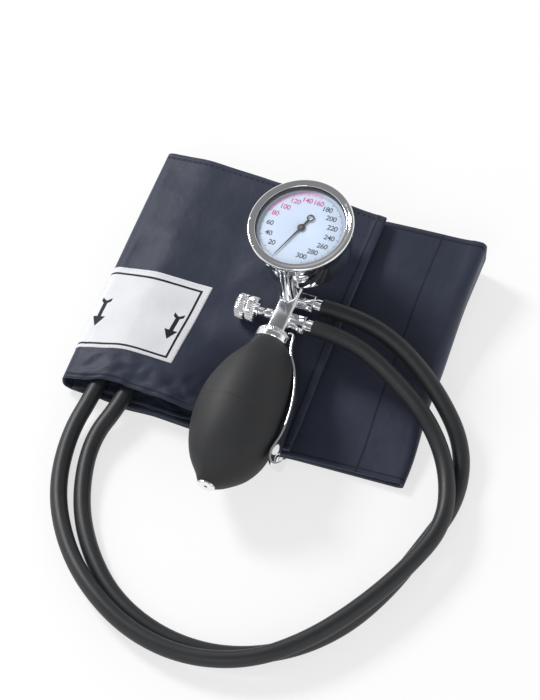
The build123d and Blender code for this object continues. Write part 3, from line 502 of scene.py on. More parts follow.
def clothPiece(name, cloth, node, finish):
    columns, rows = sum(cuff["columns"]), cuff["rows"]
    bm = gridOf(columns, rows)
    paths = [foldPath(cloth, cuff["width"] * row / rows) for row in range(rows + 1)]
    middlePath, total, marks = paths[rows // 2]
    along = [0.0]
    for a, b in zip(middlePath, middlePath[1:]):
        along.append(along[-1] + (b - a).length)
    layer = bm.loops.layers.uv.new("cloth")
    placeOf = {vert: (round((vert.co.x + 0.5) * columns), round((vert.co.y + 0.5) * rows)) for vert in bm.verts}
    middleStart, middleEnd, topStart = [sum(cuff["columns"][:k]) for k in (2, 4, 5)]
    topLeaf, middleLeaf = [], []
    for vert, (column, row) in placeOf.items():
        station = cuff["width"] * row / rows
        x, z = paths[row][0][column]
        vert.co = Vector((x, cuff["front"] + station, z)) * mm
        for loop in vert.link_loops:
            loop[layer].uv = (along[column] * mm, station * mm)
        if column > topStart + 3:
            topLeaf.append(vert)
        elif middleStart + 4 < column < middleEnd - 4:
            middleLeaf.append(vert)
    for leaf, share in ((topLeaf, 1.0), (middleLeaf, cuff["middleCrumple"])):
        for _ in range(cuff["smoothing"]):
            bmesh.ops.smooth_vert(bm, verts=leaf, factor=0.5, use_axis_x=False, use_axis_y=False, use_axis_z=True)
        for vert in leaf:
            x, y = vert.co.x / mm, vert.co.y / mm
            fade = ramp(x, -101.0, -88.0) * (1.0 - ramp(x, 86.0, 100.0))
            vert.co.z += wrinkles(x, y, y - cuff["front"]) * share * fade * mm
    for vert, (column, row) in placeOf.items():
        hem = ramp(column, columns - 5, columns - 3.5) * (1.0 - 0.5 * ramp(column, columns - 1, columns))
        vert.co.z += cuff["hem"] * hem * mm  # the cloth lies double at its end
        dx, dy = drift(vert.co.x / mm, cuff["width"] * row / rows, column > topStart - 7)
        vert.co += Vector((dx, dy, 0.0)) * mm
    gap = cuff["clear"] + (0.0 if cloth is outerCloth else cuff["innerBelow"])
    for vert in topLeaf:
        vert.co = restUnderHandset(vert.co, gap)
    faceOut(bm)
    places = {place: vert.co.copy() for vert, place in placeOf.items()}
    piece = keep(name, bm, finish, [node])
    wallOf(piece, cuff["wall"], True)
    total * mm
    return piece, along, marks, places


def weaveFinish(name, dark, light, seams):
    # seams: lines across the strip or along it, in metres from its start, some with stitches
    finish = Finish(name, Specular_IOR_Level=0.22, Sheen_Weight=0.12, Sheen_Roughness=0.5,
                    Sheen_Tint=(0.60, 0.70, 1.0, 1.0))
    along, across, _ = finish.split(finish.cloth())
    where = finish.coordinates()
    weave = along.wave(0.0009).larger(across.wave(0.0009))
    cloud = finish.noise(where, 26.0, 4.0, 0.55)
    crease = finish.noise(where, 140.0, 4.0, 0.60)
    stitch, furrowAndShade = along * 0.0, along * 0.0
    for ruler, other, lines in ((along, across, seams["across"]), (across, along, seams["along"])):
        for line, stitched in lines:
            furrowAndShade = furrowAndShade.larger(ruler.near(line, 0.0011))
            if stitched:
                stitch = stitch.larger(ruler.near(line, 0.0005) * other.wave(0.0034).above(-0.3, 0.4))
    tone = finish.mix(cloud, dark, light)
    # painted shade: the seams' furrows are darkened in colour as if in shadow, on top of the real groove the bump gives
    # them
    tone = finish.mix(furrowAndShade * 0.75, tone, [c * 0.22 for c in dark])
    tone = finish.mix(stitch * 0.5, tone, [c * 2.2 for c in light])
    finish.set(Base_Color=tone, Roughness=0.42 + cloud * 0.16 + furrowAndShade * 0.3)
    coarse = finish.bump(crease * 0.4 + cloud, 0.0014, 0.6)
    finish.set(Normal=finish.bump(weave * 0.5 + stitch * 1.2 - furrowAndShade * 1.5, 0.00009, 0.5, coarse))
    return finish


navy, navyLight = (0.0200, 0.0240, 0.0400), (0.0340, 0.0405, 0.0660)
outerTotal = foldPath(outerCloth, cuff["width"] / 2)[1] * mm
innerCorners = foldPath(innerCloth, cuff["width"] / 2)[2]
outerFinish = weaveFinish("navyNylonOuter", navy, navyLight, {
    "across": ((0.003, False), (outerTotal - 0.0048, False)), "along": ((0.0026, False), (0.1518, True))})
innerFinish = weaveFinish("navyNylonLining", navy, navyLight, {
    "across": ((0.003, False), ((innerCorners[2] + 27.0) * mm, False), (outerTotal - 0.006, False)),
    "along": ((0.0026, False), (0.1520, False))})
outerPiece, outerAlong, outerMarks, outerPlaces = clothPiece(
    "cuffOuterCloth", outerCloth, "cuff_outer_panel", outerFinish)
innerPiece, _, innerMarks, _ = clothPiece("cuffInnerCloth", innerCloth, "cuff_inner_panel", innerFinish)
print("cuff folded")

# label: lies on the outer cloth, round the left fold
label = {"front": (18.5, 22.0), "back": (71.2, 76.2), "right": (-47.4, -44.8), "down": 0.45, "lift": 0.58,
         "wall": 0.25, "border": 3.4, "arrows": (0.0112, -0.0095), "arrowAt": 0.0142}


def labelFinishOf(width, depth):
    finish = Finish("labelSatin", Specular_IOR_Level=0.2, Sheen_Weight=0.02)
    along, across, _ = finish.split(finish.add("ShaderNodeUVMap", {"uv_map": "label"}))
    where = finish.coordinates()
    threads = across.wave(0.0007) * 0.5 + along.wave(0.0011) * 0.3
    cloud = finish.noise(where, 60.0, 4.0, 0.6)
    edgeX = along.smaller(width - along)
    edgeY = across.smaller(depth - across)
    edge = edgeX.smaller(edgeY)
    # the printed border is nearer to the front edge than to the others
    inner = along.smaller(width - along - 0.0012).smaller(across + 0.0007).smaller(depth - across - 0.0009)
    line = inner.near(label["border"] * mm, 0.0008).above(0.05, 0.25)
    stitch = edge.near(0.0013, 0.0004) * (along + across).wave(0.0024).above(-0.3, 0.4)
    # a plain arrow near each side, pointing to the front edge; its lengths are in metres
    arrows = line * 0.0
    for centre in label["arrows"]:
        aside = (along - (centre if centre > 0 else width + centre)).size() * 0.92
        up = (across - label["arrowAt"]) * 1.03
        head = (up * 0.55 + 0.0004 - aside).above(0.0, 0.0003) * (1.0 - up.above(0.0058, 0.0003))
        stem = (1.0 - aside.above(0.0010, 0.0002)) * up.above(0.0056, 0.0002) * (1.0 - up.above(0.0165, 0.0003))
        tail = (1.0 - (aside * 0.9 - up + 0.0150).size().above(0.0011, 0.0003)) * (1.0 - aside.above(0.0026, 0.0002))
        arrows = arrows.larger(head.larger(stem).larger(tail))
    ink = line.larger(arrows)
    tone = finish.mix(cloud, (0.62, 0.63, 0.66), (0.72, 0.73, 0.76))
    tone = finish.mix(stitch * 0.5, tone, (0.42, 0.43, 0.47))
    tone = finish.mix(ink, tone, (0.010, 0.010, 0.016))
    finish.set(Base_Color=tone, Roughness=0.5 + cloud * 0.12)
    soft = finish.bump(cloud, 0.0010, 0.5)
    finish.set(Normal=finish.bump(threads + stitch * 1.5, 0.00008, 0.5, soft))
    return finish


def patchOf(source, wanted, lift):
    # a copy of part of a cloth, lifted off it along its normals; wanted takes u, v and x in millimetres
    bm = bmesh.new()
    bm.from_mesh(source.data)
    layer = bm.loops.layers.uv["cloth"]
    outside = []
    for face in bm.faces:
        u = sum(loop[layer].uv.x for loop in face.loops) / len(face.loops) / mm
        v = sum(loop[layer].uv.y for loop in face.loops) / len(face.loops) / mm
        if not wanted(u, v, face.calc_center_median().x / mm):
            outside.append(face)
    bmesh.ops.delete(bm, geom=outside, context="FACES")
    bm.normal_update()
    for vert in bm.verts:
        vert.co += vert.normal * (lift * mm)
    return bm


def onOuterCloth(u, v):
    # the place on the outer cloth at u along the strip and v across it, in millimetres
    column = min(max(bisect.bisect_right(outerAlong, u) - 1, 0), len(outerAlong) - 2)
    row = min(int(v / cuff["width"] * cuff["rows"]), cuff["rows"] - 1)
    share = (u - outerAlong[column]) / (outerAlong[column + 1] - outerAlong[column])
    rise = v / cuff["width"] * cuff["rows"] - row
    near = outerPlaces[column, row].lerp(outerPlaces[column + 1, row], share)
    far = outerPlaces[column, row + 1].lerp(outerPlaces[column + 1, row + 1], share)
    return near.lerp(far, rise)


def labelPiece():
    leftLow, leftHigh = outerMarks[4], outerMarks[5]
    start = leftHigh - (leftHigh - leftLow) * label["down"]
    middle = cuff["rows"] // 2
    ends = [next(u for k, u in enumerate(outerAlong) if u > leftHigh and outerPlaces[k, middle].x > x * mm)
            for x in label["right"]]
    (frontLeft, frontRight), (backLeft, backRight) = label["front"], label["back"]
    bm = gridOf(72, 60)
    own = bm.loops.layers.uv.new("label")
    width, depth = (sum(ends) / 2 - start) * mm, (sum(label["back"]) - sum(label["front"])) / 2 * mm
    for vert in bm.verts:
        s, t = vert.co.x + 0.5, vert.co.y + 0.5
        for loop in vert.link_loops:
            loop[own].uv = (s * width, t * depth)
        front = frontLeft + (frontRight - frontLeft) * s
        back = backLeft + (backRight - backLeft) * s
        vert.co = onOuterCloth(start + (ends[0] + (ends[1] - ends[0]) * t - start) * s, front + (back - front) * t)
    faceOut(bm)
    if sum(face.normal.z for face in bm.faces) < 0:
        bmesh.ops.reverse_faces(bm, faces=bm.faces)
    for vert in bm.verts:
        vert.co += vert.normal * (label["lift"] * mm)
    piece = keep("cuffLabel", bm, labelFinishOf(width, depth), ["artery_label"])
    wallOf(piece, label["wall"])


def outwards(piece):
    # 1 if the normals on the cloth's top leaf point up, and -1 if they point down
    top = [p.normal.z for p in piece.data.polygons if p.center.x > 0 and p.center.y > 0.05 and p.center.z > 0.03]
    return 1.0 if sum(top) > 0 else -1.0


# the closure's two tapes, hidden in the fold
tapes = {"hookStations": (40.0, 144.0), "hookX": (9.0, 33.0), "hookLift": 1.05, "hookWall": 1.0, "hookPile": 1300.0,
         "loopMiddle": (25.0, 23.0, 2.55), "loopSize": (90.0, 104.0), "loopWall": 0.9, "loopPile": 2400.0}


def tapeFinish(name, pileScale):
    finish = Finish(name, Specular_IOR_Level=0.3, Sheen_Weight=0.2, Sheen_Tint=(0.6, 0.7, 1.0, 1.0))
    where = finish.coordinates()
    pile = finish.noise(where, pileScale, 3.0, 0.7)
    patch = finish.noise(where, 90.0, 3.0)
    finish.set(Base_Color=finish.mix(pile, (0.004, 0.005, 0.010), (0.016, 0.019, 0.034)), Roughness=0.7 + patch * 0.15,
               Normal=finish.bump(pile, 0.0004, 0.8))
    return finish


def hookPiece():
    (front, back), (left, right) = tapes["hookStations"], tapes["hookX"]
    bm = patchOf(innerPiece, lambda u, v, x: u > innerMarks[6] and front < v < back and left < x < right,
                 -tapes["hookLift"] * outwards(innerPiece))
    piece = keep("hookTape", bm, tapeFinish("hookTape", tapes["hookPile"]), ["hook_patch"])
    wallOf(piece, tapes["hookWall"])


def loopPiece():
    (x, y, z), (wide, deep) = tapes["loopMiddle"], tapes["loopSize"]
    bm = gridOf(60, 60)
    for vert in bm.verts:
        vert.co = Vector((x + vert.co.x * wide, y + vert.co.y * deep, z)) * mm
        vert.co.z += 0.12 * noise.noise(vert.co * 60.0) * mm
        dx, dy = drift(vert.co.x / mm, vert.co.y / mm - cuff["front"])
        vert.co += Vector((dx, dy, 0.0)) * mm
    piece = keep("loopTape", bm, tapeFinish("loopTape", tapes["loopPile"]), ["loop_patch"])
    wallOf(piece, tapes["loopWall"])


# bladder between the cloths: how far it goes below the left fold, its stations, its right end and its ports' x
bladder = {"down": 88.0, "stations": (26.0, 140.0), "end": -13.5, "inside": 0.95,
           "ports": {"upper": -66.5, "lower": -84.0}, "portHeight": 13.2}


def bladderPiece():
    # two rubber sheets that follow the insides of the cloths, joined all round
    front, back = bladder["stations"]
    bm = bmesh.new()
    for source, marks, side in ((outerPiece, outerMarks, -1), (innerPiece, innerMarks, 1)):
        start = marks[4] - bladder["down"]
        addTo(bm, patchOf(source, lambda u, v, x: start < u and front < v < back and x < bladder["end"],
                          side * bladder["inside"] * outwards(source)))
    bmesh.ops.bridge_loops(bm, edges=[e for e in bm.edges if e.is_boundary])
    faceOut(bm)
    piece = keep("airBladder", bm, bladderFinish, ["bladder"])
    for side, x in bladder["ports"].items():
        port = bmesh.new()
        lathe(port, [(3.0, -36.9), (5.0, -36.9), (5.4, -36.4), (5.4, -35.2), (5.0, -34.8), (5.0, -31.2), (5.35, -30.6),
                     (5.35, -29.0), (3.0, -29.0)], "Y", (x, 0, bladder["portHeight"]), 64)
        keep("bladderPort_" + side, port, bladderFinish, ["bladder_port_" + side], sharp=40)


labelPiece()
hookPiece()
loopPiece()
bladderPiece()
print("label, tapes and bladder in place")

# bulb with its end valve, collar and spoon strip. Clear is what the lean leaves round the spigot and the end valve.
bulb = {"wall": 2.2, "tip": -99.55, "hole": 4.35, "neck": 8.35, "neckTop": 1.6, "spigot": 5.25, "steps": 128,
        "clear": (5.3, 4.7)}
# the soft rubber hangs askew: how far each side is pushed to the right, at distances below the collar
bulbLean = {
    "left": smoothLine([(0.0, 0.0), (2.5, 0.0), (5.0, 1.2), (8.5, 3.8), (13.0, 5.9), (18.0, 5.5), (25.0, 4.3),
                        (35.0, 2.8), (45.0, 1.7), (58.0, 1.4), (72.0, 1.9), (84.0, 2.5), (92.0, 3.0), (96.0, 2.6),
                        (99.6, 0.0)]),
    "right": smoothLine([(0.0, 0.0), (2.5, 0.0), (8.5, 0.2), (20.0, -0.6), (35.0, -1.2), (50.0, -0.6), (62.0, 1.0),
                         (75.0, 2.6), (86.0, 2.4), (94.0, 1.0), (99.6, 0.0)])}


def bulbPush(side, depth):
    row = bulbLean[side]
    k = min(max(bisect.bisect_right(row, depth, key=lambda point: point[0]), 1), len(row) - 1)
    (low, first), (high, second) = row[k - 1], row[k]
    return first + (second - first) * min(max((depth - low) / (high - low), 0.0), 1.0)


def bulbPiece():
    outer = [tuple(p) for p in smoothLine(bulbOutline, 9)]
    inner = [(r - bulb["wall"], y) for r, y in bulbOutline[3:-2]]
    inner = [(bulb["spigot"], -7.0), (10.4, -9.0)] + inner + [(9.3, -92.8), (5.4, -94.6)]
    inner = [tuple(p) for p in smoothLine(inner)]
    outline = [(bulb["spigot"], bulb["neckTop"]), (bulb["neck"], bulb["neckTop"]), (bulb["neck"], -2.9)] + outer
    outline += [(bulb["hole"], bulb["tip"]), (bulb["hole"], -95.1)] + inner[::-1]
    bm = bmesh.new()
    lathe(bm, outline, "Y", steps=bulb["steps"])
    spigotClear, valveClear = bulb["clear"]
    for vert in bm.verts:
        x, depth, reach = vert.co.x / mm, -vert.co.y / mm, math.hypot(vert.co.x, vert.co.z) / mm
        push = bulbPush("left" if x < 0 else "right", depth) * ramp(abs(x) / reach, 0.0, 0.85)
        vert.co.x += min(push, max(0.0, reach - (spigotClear if depth < 20 else valveClear))) * mm
    keep("squeezeBulb", bm, bulbFinish, ["bulb_shell"], handset, 40)


collar = {"knurlFrom": 9.7, "knurlAbove": 0.4, "teeth": 48, "knurl": 0.22}


def collarPiece():
    bm = bmesh.new()
    lathe(bm, [(5.3, 2.75), (9.4, 2.75), (10.0, 2.3), (10.0, 0.5), (9.95, 0.3), (10.3, 0.1), (10.6, -0.3), (10.6, -3.0),
               (10.3, -3.4), (8.4, -3.4), (8.4, 1.65), (5.3, 1.65)], "Y", steps=collar["teeth"] * 6)
    for vert in bm.verts:
        x, y, z = vert.co / mm
        reach = math.hypot(x, z)
        if reach > collar["knurlFrom"] and y > collar["knurlAbove"]:
            dip = collar["knurl"] * (0.5 - 0.5 * math.cos(collar["teeth"] * math.atan2(z, x)))
            vert.co -= Vector((x / reach, 0, z / reach)) * dip * mm
    keep("bulbCollar", bm, chromeFinish, ["bulb_collar"], handset, 34)


bulbPiece()
collarPiece()
turnedPiece("endValve", [(1.1, -101.05), (4.9, -101.05), (5.3, -100.7), (5.3, -99.6), (4.25, -99.55), (4.25, -91.2),
                         (3.2, -91.2), (3.2, -99.5), (1.1, -99.5)], "Y", chromeFinish, ["end_valve_body"],
            soft=0.12)

# each point of the route: x, y and the strip's width there. The end is curled outwards as a finger rest.
# A pair is where along the strip its dish or turn begins and is full, and where it begins to end and has ended.
spoon = {"wall": 1.2, "dish": 1.8, "dishIn": (0.62, 0.72), "dishOut": (0.78, 0.88),
         "turn": 10.0, "turnIn": (0.58, 0.72), "turnOut": (0.78, 0.92),
         "route": [(8.6, 3.1, 6.4), (10.3, 3.2, 6.4), (11.3, 1.8, 6.4), (11.9, -2.5, 6.4), (14.4, -9.0, 6.8),
                   (18.6, -15.5, 7.2), (22.0, -22.5, 7.6), (24.7, -30.0, 8.0), (26.8, -38.5, 8.0), (28.0, -47.5, 8.0),
                   (28.5, -56.0, 8.4), (28.6, -63.5, 10.6), (28.8, -70.5, 13.4), (30.0, -75.6, 13.6),
                   (32.6, -78.0, 12.6), (35.6, -77.2, 11.0), (37.5, -74.0, 8.6), (38.0, -70.6, 3.4)]}


def spoonPiece():
    line = smoothLine(spoon["route"], 8)
    columns = len(line) - 1
    bm = gridOf(columns, 16)
    for vert in bm.verts:
        column, aside = round((vert.co.x + 0.5) * columns), vert.co.y * 2
        here, share = line[column].xy, column / columns
        side = (line[min(column + 1, columns)] - line[max(column - 1, 0)]).xy.normalized()
        out, half = Vector((-side.y, side.x)), line[column].z / 2
        dish, tilt = [spoon[name] * ramp(share, *spoon[name + "In"]) * (1.0 - ramp(share, *spoon[name + "Out"]))
                      for name in ("dish", "turn")]
        dish, tilt = dish * (1 - aside * aside), math.radians(tilt)
        place = here + out * (spoon["wall"] / 2 - dish * math.cos(tilt) - aside * half * math.sin(tilt))
        vert.co = Vector((place.x, place.y, aside * half * math.cos(tilt) - dish * math.sin(tilt))) * mm
    faceOut(bm)
    bmesh.ops.solidify(bm, geom=bm.faces, thickness=spoon["wall"] * mm)
    faceOut(bm)
    lathe(bm, [(5.3, 2.85), (8.9, 2.85), (8.9, 3.5), (5.3, 3.5)], "Y", steps=64)
    softenEdges(bm, 0.22, 50.0, 2)
    keep("spoonStrip", bm, chromeFinish, ["spoon_strip"], handset, 40)


spoonPiece()
print("bulb ready")

# valve block, release valve and hose connectors
block = {"size": (10.9, 29.9, 12.0), "middle": (0.6, 18.55, 0.0), "chamfer": 1.3, "bore": 2.62, "boreEnd": 2.0}
knob = {"axis": 14.7, "radius": 7.5, "groove": 6.4, "near": 14.1, "far": 27.6, "hub": 4.6, "hubLength": 1.2,
        "teeth": 36, "knurl": 0.35}


def blockPiece():
    bm = bmesh.new()
    box(bm, block["size"], block["middle"])
    long = [e for e in bm.edges if abs((e.verts[0].co - e.verts[1].co).y) > 0.01]
    bevelEdges(bm, long, block["chamfer"], 1)
    softenEdges(bm, 0.22, 20.0, 2)
    # the release valve's bore, from the left face inwards
    wall = max((face for face in bm.faces if face.normal.x < -0.99), key=lambda face: face.calc_area())
    rim, mouthAt = list(wall.edges), Vector((wall.calc_center_median().x, knob["axis"] * mm, 0))
    bmesh.ops.delete(bm, geom=[wall], context="FACES_ONLY")
    ring = bmesh.ops.create_circle(bm, radius=block["bore"] * mm, segments=64,
                                   matrix=Matrix.Translation(mouthAt) @ Matrix.Rotation(math.pi / 2, 4, "Y"))
    mouth = list(dict.fromkeys(edge for vert in ring["verts"] for edge in vert.link_edges))
    bmesh.ops.triangle_fill(bm, use_beauty=True, use_dissolve=False, edges=rim + mouth)
    made = bmesh.ops.extrude_edge_only(bm, edges=mouth)["geom"]
    for vert in made:
        if isinstance(vert, bmesh.types.BMVert):
            vert.co.x = block["boreEnd"] * mm
    bottom = [e for e in made if isinstance(e, bmesh.types.BMEdge) and len(e.link_faces) == 1]
    bmesh.ops.contextual_create(bm, geom=bottom)
    faceOut(bm)
    lathe(bm, [(2.0, 3.6), (5.2, 3.6), (5.2, -9.0), (3.4, -9.0), (3.4, 3.0), (2.0, 3.0)], "Y", steps=64)
    keep("valveBlock", bm, satinFinish, ["valve_block"], handset, 30)


def knobPiece():
    near, far, shoulder = -knob["near"], -knob["far"], -knob["near"] - knob["hubLength"]
    middle, r, g = (shoulder + far) / 2, knob["radius"], knob["groove"]
    outline = [(2.4, near), (knob["hub"], near), (knob["hub"], shoulder), (r - 0.7, shoulder), (r, shoulder - 0.7),
               (r, middle + 0.95), (r - 0.4, middle + 0.5), (g, middle + 0.45), (g, middle - 0.45),
               (r - 0.4, middle - 0.5), (r, middle - 0.95), (r, far + 0.7), (r - 0.7, far), (3.0, far),
               (2.6, far + 0.35), (0.0, far + 0.35), (0.0, near - 6.0), (2.4, near - 6.0)]
    bm = bmesh.new()
    lathe(bm, outline, "X", (0, knob["axis"], 0), knob["teeth"] * 8)
    for vert in bm.verts:
        y, z = vert.co.y / mm - knob["axis"], vert.co.z / mm
        reach = math.hypot(y, z)
        if reach > r - 0.3:
            dip = knob["knurl"] * (0.5 - 0.5 * math.cos(knob["teeth"] * math.atan2(z, y))) ** 2
            vert.co.y -= y / reach * dip * mm
            vert.co.z -= z / reach * dip * mm
    keep("releaseKnob", bm, chromeFinish, ["valve_knob"], handset, 34, "release_knob")


blockPiece()
turnedPiece("blockPlug", [(0.0, 5.3), (0.55, 5.3), (0.75, 5.9), (1.35, 6.12), (1.5, 6.02), (1.5, 5.2), (0.0, 5.2)],
            "Z", steelFinish, centre=(0.0, 30.6, 0.0), steps=32, soft=0.05)
knobPiece()
turnedPiece("knobSpindle", [(0.0, -20.0), (2.7, -20.0), (2.7, -11.2), (1.5, -11.2), (1.5, -4.3), (0.0, -4.3)], "X",
            chromeFinish, ["valve_spindle"], (0, knob["axis"], 0), 64, 0.08, "release_knob")
turnedPiece("spindleBush", [(1.56, -10.2), (2.9, -10.2), (3.3, -9.8), (3.3, -6.2), (2.9, -5.9), (2.9, -5.6),
                            (3.3, -5.27), (2.6, -5.25), (2.6, -1.66), (1.56, -1.66)], "X", chromeFinish,
            ["valve_bush"], (0, knob["axis"], 0), 64, 0.08)

connector = {"across": 10.0, "start": 5.65, "hexLength": 9.9, "cornerRound": 0.7, "edgeRound": 0.25}


def riseOf(edge):
    return abs(edge.verts[0].co.z - edge.verts[1].co.z)


def connectorPiece(side):
    centre, start, reach = (0, connectorHeights[side], 0), connector["start"], hoseSize["face"]
    end = start + connector["hexLength"]
    bm = bmesh.new()
    bmesh.ops.create_circle(bm, cap_ends=True, radius=connector["across"] / math.sqrt(3) * mm, segments=6)
    rise = bmesh.ops.extrude_face_region(bm, geom=list(bm.faces))
    top = [g for g in rise["geom"] if isinstance(g, bmesh.types.BMVert)]
    bmesh.ops.translate(bm, vec=Vector((0, 0, connector["hexLength"])) * mm, verts=top)
    faceOut(bm)
    bevelEdges(bm, [e for e in bm.edges if riseOf(e) < 1e-6], connector["cornerRound"], 3)
    bevelEdges(bm, [e for e in bm.edges if riseOf(e) > 0.003], connector["edgeRound"], 2)
    bmesh.ops.transform(bm, matrix=Matrix.Translation(Vector((start, centre[1], 0)) * mm)
                        @ Matrix.Rotation(math.pi / 2, 4, "Y"), verts=bm.verts)
    lathe(bm, [(1.3, 2.3), (2.0, 2.3), (2.0, 5.2), (4.0, 5.25), (4.0, start + 0.02), (1.3, start + 0.02)],
          "X", centre, 48)
    lathe(bm, [(1.3, end - 0.02), (3.4, end - 0.02), (3.4, end + 0.6), (4.0, end + 0.9), (4.0, reach - 0.5),
               (3.6, reach - 0.05), (1.3, reach - 0.05)], "X", centre, 48)
    keep("hoseConnector_" + side, bm, chromeFinish, ["hose_connector_" + side], handset, 30)


for side in connectorHeights:
    connectorPiece(side)
print("valve block ready")

# gauge: radii of the case, bezel and window, and heights of the case's floor and rim, the dial and the front
gauge = {"case": 28.0, "bezel": 31.0, "window": 26.4, "floor": 12.0, "rim": 35.0, "dial": 33.98, "front": 38.3}
# the neck leans into the case and is hollowed where it meets the case's wall and, higher up, the bezel's skirt
neck = {"lean": ((1.6, 6.0, 20.0), (1.0, 20.0, 30.0)), "hollowFrom": 11.5, "caseClear": 28.06,
        "skirtFrom": 28.9, "skirtClear": 29.36}


def neckPiece():
    bm = bmesh.new()
    lathe(bm, [(1.2, 6.0), (5.4, 6.0), (5.4, 6.6), (4.9, 7.2), (4.5, 13.0), (4.3, 19.0), (4.3, 28.8), (4.3, 29.0),
               (4.3, 34.5), (4.0, 34.8), (0.0, 34.8), (0.0, 16.5), (1.2, 16.5)], "Z", (0, 27.0, 0), 96)
    softenEdges(bm, 0.3)
    for vert in bm.verts:
        z = vert.co.z / mm
        vert.co.y += sum(far * ramp(z, start, end) for far, start, end in neck["lean"]) * mm
        x, y = vert.co.x / mm, vert.co.y / mm - gaugeCentre[1]
        reach, least = math.hypot(x, y), neck["caseClear" if z < neck["skirtFrom"] else "skirtClear"]
        if reach < least and z > neck["hollowFrom"]:
            vert.co.x, vert.co.y = x / reach * least * mm, (gaugeCentre[1] + y / reach * least) * mm
    keep("gaugeNeck", bm, chromeFinish, ["gauge_neck"], handset, 40)


def housing():
    r, bezel, window = gauge["case"], gauge["bezel"], gauge["window"]
    floor, rim, front = gauge["floor"], gauge["rim"], gauge["front"]
    turnedPiece("gaugeCase", [(0.0, floor), (r - 2.0, floor), (r - 0.8, floor + 0.5), (r - 0.2, floor + 1.4),
                              (r, floor + 2.6), (r, rim), (r - 1.0, rim), (r - 1.0, rim - 1.5), (r - 2.0, rim - 1.5),
                              (r - 2.0, floor + 1.2), (0.0, floor + 1.2)], "Z",
                chromeFinish, ["gauge_case"], gaugeCentre, 160, 0.12)
    turnedPiece("bezelRing", [(r + 0.05, 29.0), (r + 1.3, 29.0), (r + 1.3, 34.3), (bezel - 1.1, 34.9),
                              (bezel - 0.3, 35.5), (bezel, 36.1), (bezel, front - 0.9), (bezel - 0.3, front - 0.3),
                              (bezel - 0.8, front), (bezel - 2.0, front), (bezel - 2.4, front - 0.15),
                              (window + 0.3, front - 0.2), (window, front - 0.4), (window, front - 0.75),
                              (r - 1.0, front - 0.75), (r - 1.0, rim + 0.05), (r + 0.05, rim + 0.05)], "Z",
                chromeFinish, ["bezel_ring"], gaugeCentre, 160, 0.1)


screws = {"angles": (10.0, 130.0, 250.0), "height": 32.0, "reach": 29.3}


def bezelScrewPiece():
    bm = bmesh.new()
    for angle in screws["angles"]:
        one = bmesh.new()
        lathe(one, [(0.0, 0.25), (0.55, 0.25), (0.6, 0.7), (1.0, 0.75), (1.25, 0.45), (1.3, 0.0), (0.6, -0.02),
                    (0.6, -2.2), (0.0, -2.2)], "Z", steps=28)
        turn = (Matrix.Translation(Vector((0, gaugeCentre[1], screws["height"])) * mm)
                @ Matrix.Rotation(math.radians(angle), 4, "Z") @ Matrix.Rotation(math.pi / 2, 4, "Y")
                @ Matrix.Translation(Vector((0, 0, screws["reach"])) * mm))
        bmesh.ops.transform(one, matrix=turn, verts=one.verts)
        addTo(bm, one)
    keep("bezelScrews", bm, chromeFinish, ["bezel_screws"], handset, 40)


neckPiece()
housing()
bezelScrewPiece()


def lensFinishOf():
    finish = Finish("clearLens", Alpha=0.03, IOR=1.4, Base_Color=(0.93, 0.96, 1.0, 1.0))
    marks = finish.noise(finish.coordinates(), 90.0, 3.0)
    finish.set(Roughness=0.02 + marks.above(0.55, 0.3) * 0.05)
    return finish


# flat below, and slightly domed on top
dome = [(26.2 * (1 - k / 8), 37.5 + 0.35 * math.sin(math.pi / 2 * k / 8)) for k in range(9)]
turnedPiece("gaugeLens", [(0.0, 36.0), (26.9, 36.0), (26.95, 36.05), (26.95, 37.4)] + dome, "Z",
            lensFinishOf(), ["lens"], gaugeCentre, 128, 0)


def dialFinishOf():
    finish = Finish("dialPaint", Roughness=0.5, Specular_IOR_Level=0.4)
    where = finish.coordinates(handset)
    x, y, z = finish.split(where)
    cloud = finish.noise(where, 160.0, 3.0)
    middle = gaugeCentre[1] * mm
    away = ((x * x) + (y - middle) * (y - middle)) ** 0.5
    shade = finish.mix(away.above(0.0225, 0.004) * 0.4, (0.58, 0.69, 0.86), (0.42, 0.52, 0.72))
    finish.set(Base_Color=finish.mix(cloud * 0.15, shade, (0.50, 0.58, 0.74)),
               Normal=finish.bump(finish.noise(where, 3000.0, 2.0), 0.00003, 0.3))
    return finish


def printFinish(name, colour):
    finish = Finish(name, Specular_IOR_Level=0.35)
    ink = finish.noise(finish.coordinates(), 900.0, 2.0)
    finish.set(Base_Color=finish.mix(ink, [c * 0.85 for c in colour], [min(1.0, c * 1.15) for c in colour]),
               Roughness=0.42 + ink * 0.1)
    return finish


greyInk = printFinish("dialInkGrey", (0.012, 0.015, 0.025))
pinkInk = printFinish("dialInkPink", (0.55, 0.03, 0.22))
paleInk = printFinish("dialInkPale", (0.70, 0.42, 0.68))
turnedPiece("dialDisc", [(1.0, 33.55), (26.9, 33.55), (26.9, gauge["dial"]), (1.0, gauge["dial"])], "Z",
            dialFinishOf(), ["dial_plate"], gaugeCentre, 128, 0.05)

# the printed scale: angles in degrees, and how far each print lies above the dial
scale = {"turn": 317.0, "zero": 248.5, "full": 300.0, "tickIn": 22.4, "tickOut": 24.4, "numbers": 18.9, "cap": 3.25,
         "pinkFrom": 80, "pinkTo": 160, "tickLift": 0.015, "bandLift": 0.008, "numberLift": 0.018,
         "tickWidths": (0.28, 0.22, 0.16), "tickShorter": (0.0, 0.4, 0.9), "wideNumbersIn": 0.9}


def scaleAngle(value):
    return math.radians(scale["zero"] - scale["turn"] * value / scale["full"])


def dialPoint(angle, reach, lift):
    return Vector((reach * math.cos(angle), gaugeCentre[1] + reach * math.sin(angle), gauge["dial"] + lift)) * mm


def isPink(value):
    return scale["pinkFrom"] <= value <= scale["pinkTo"]


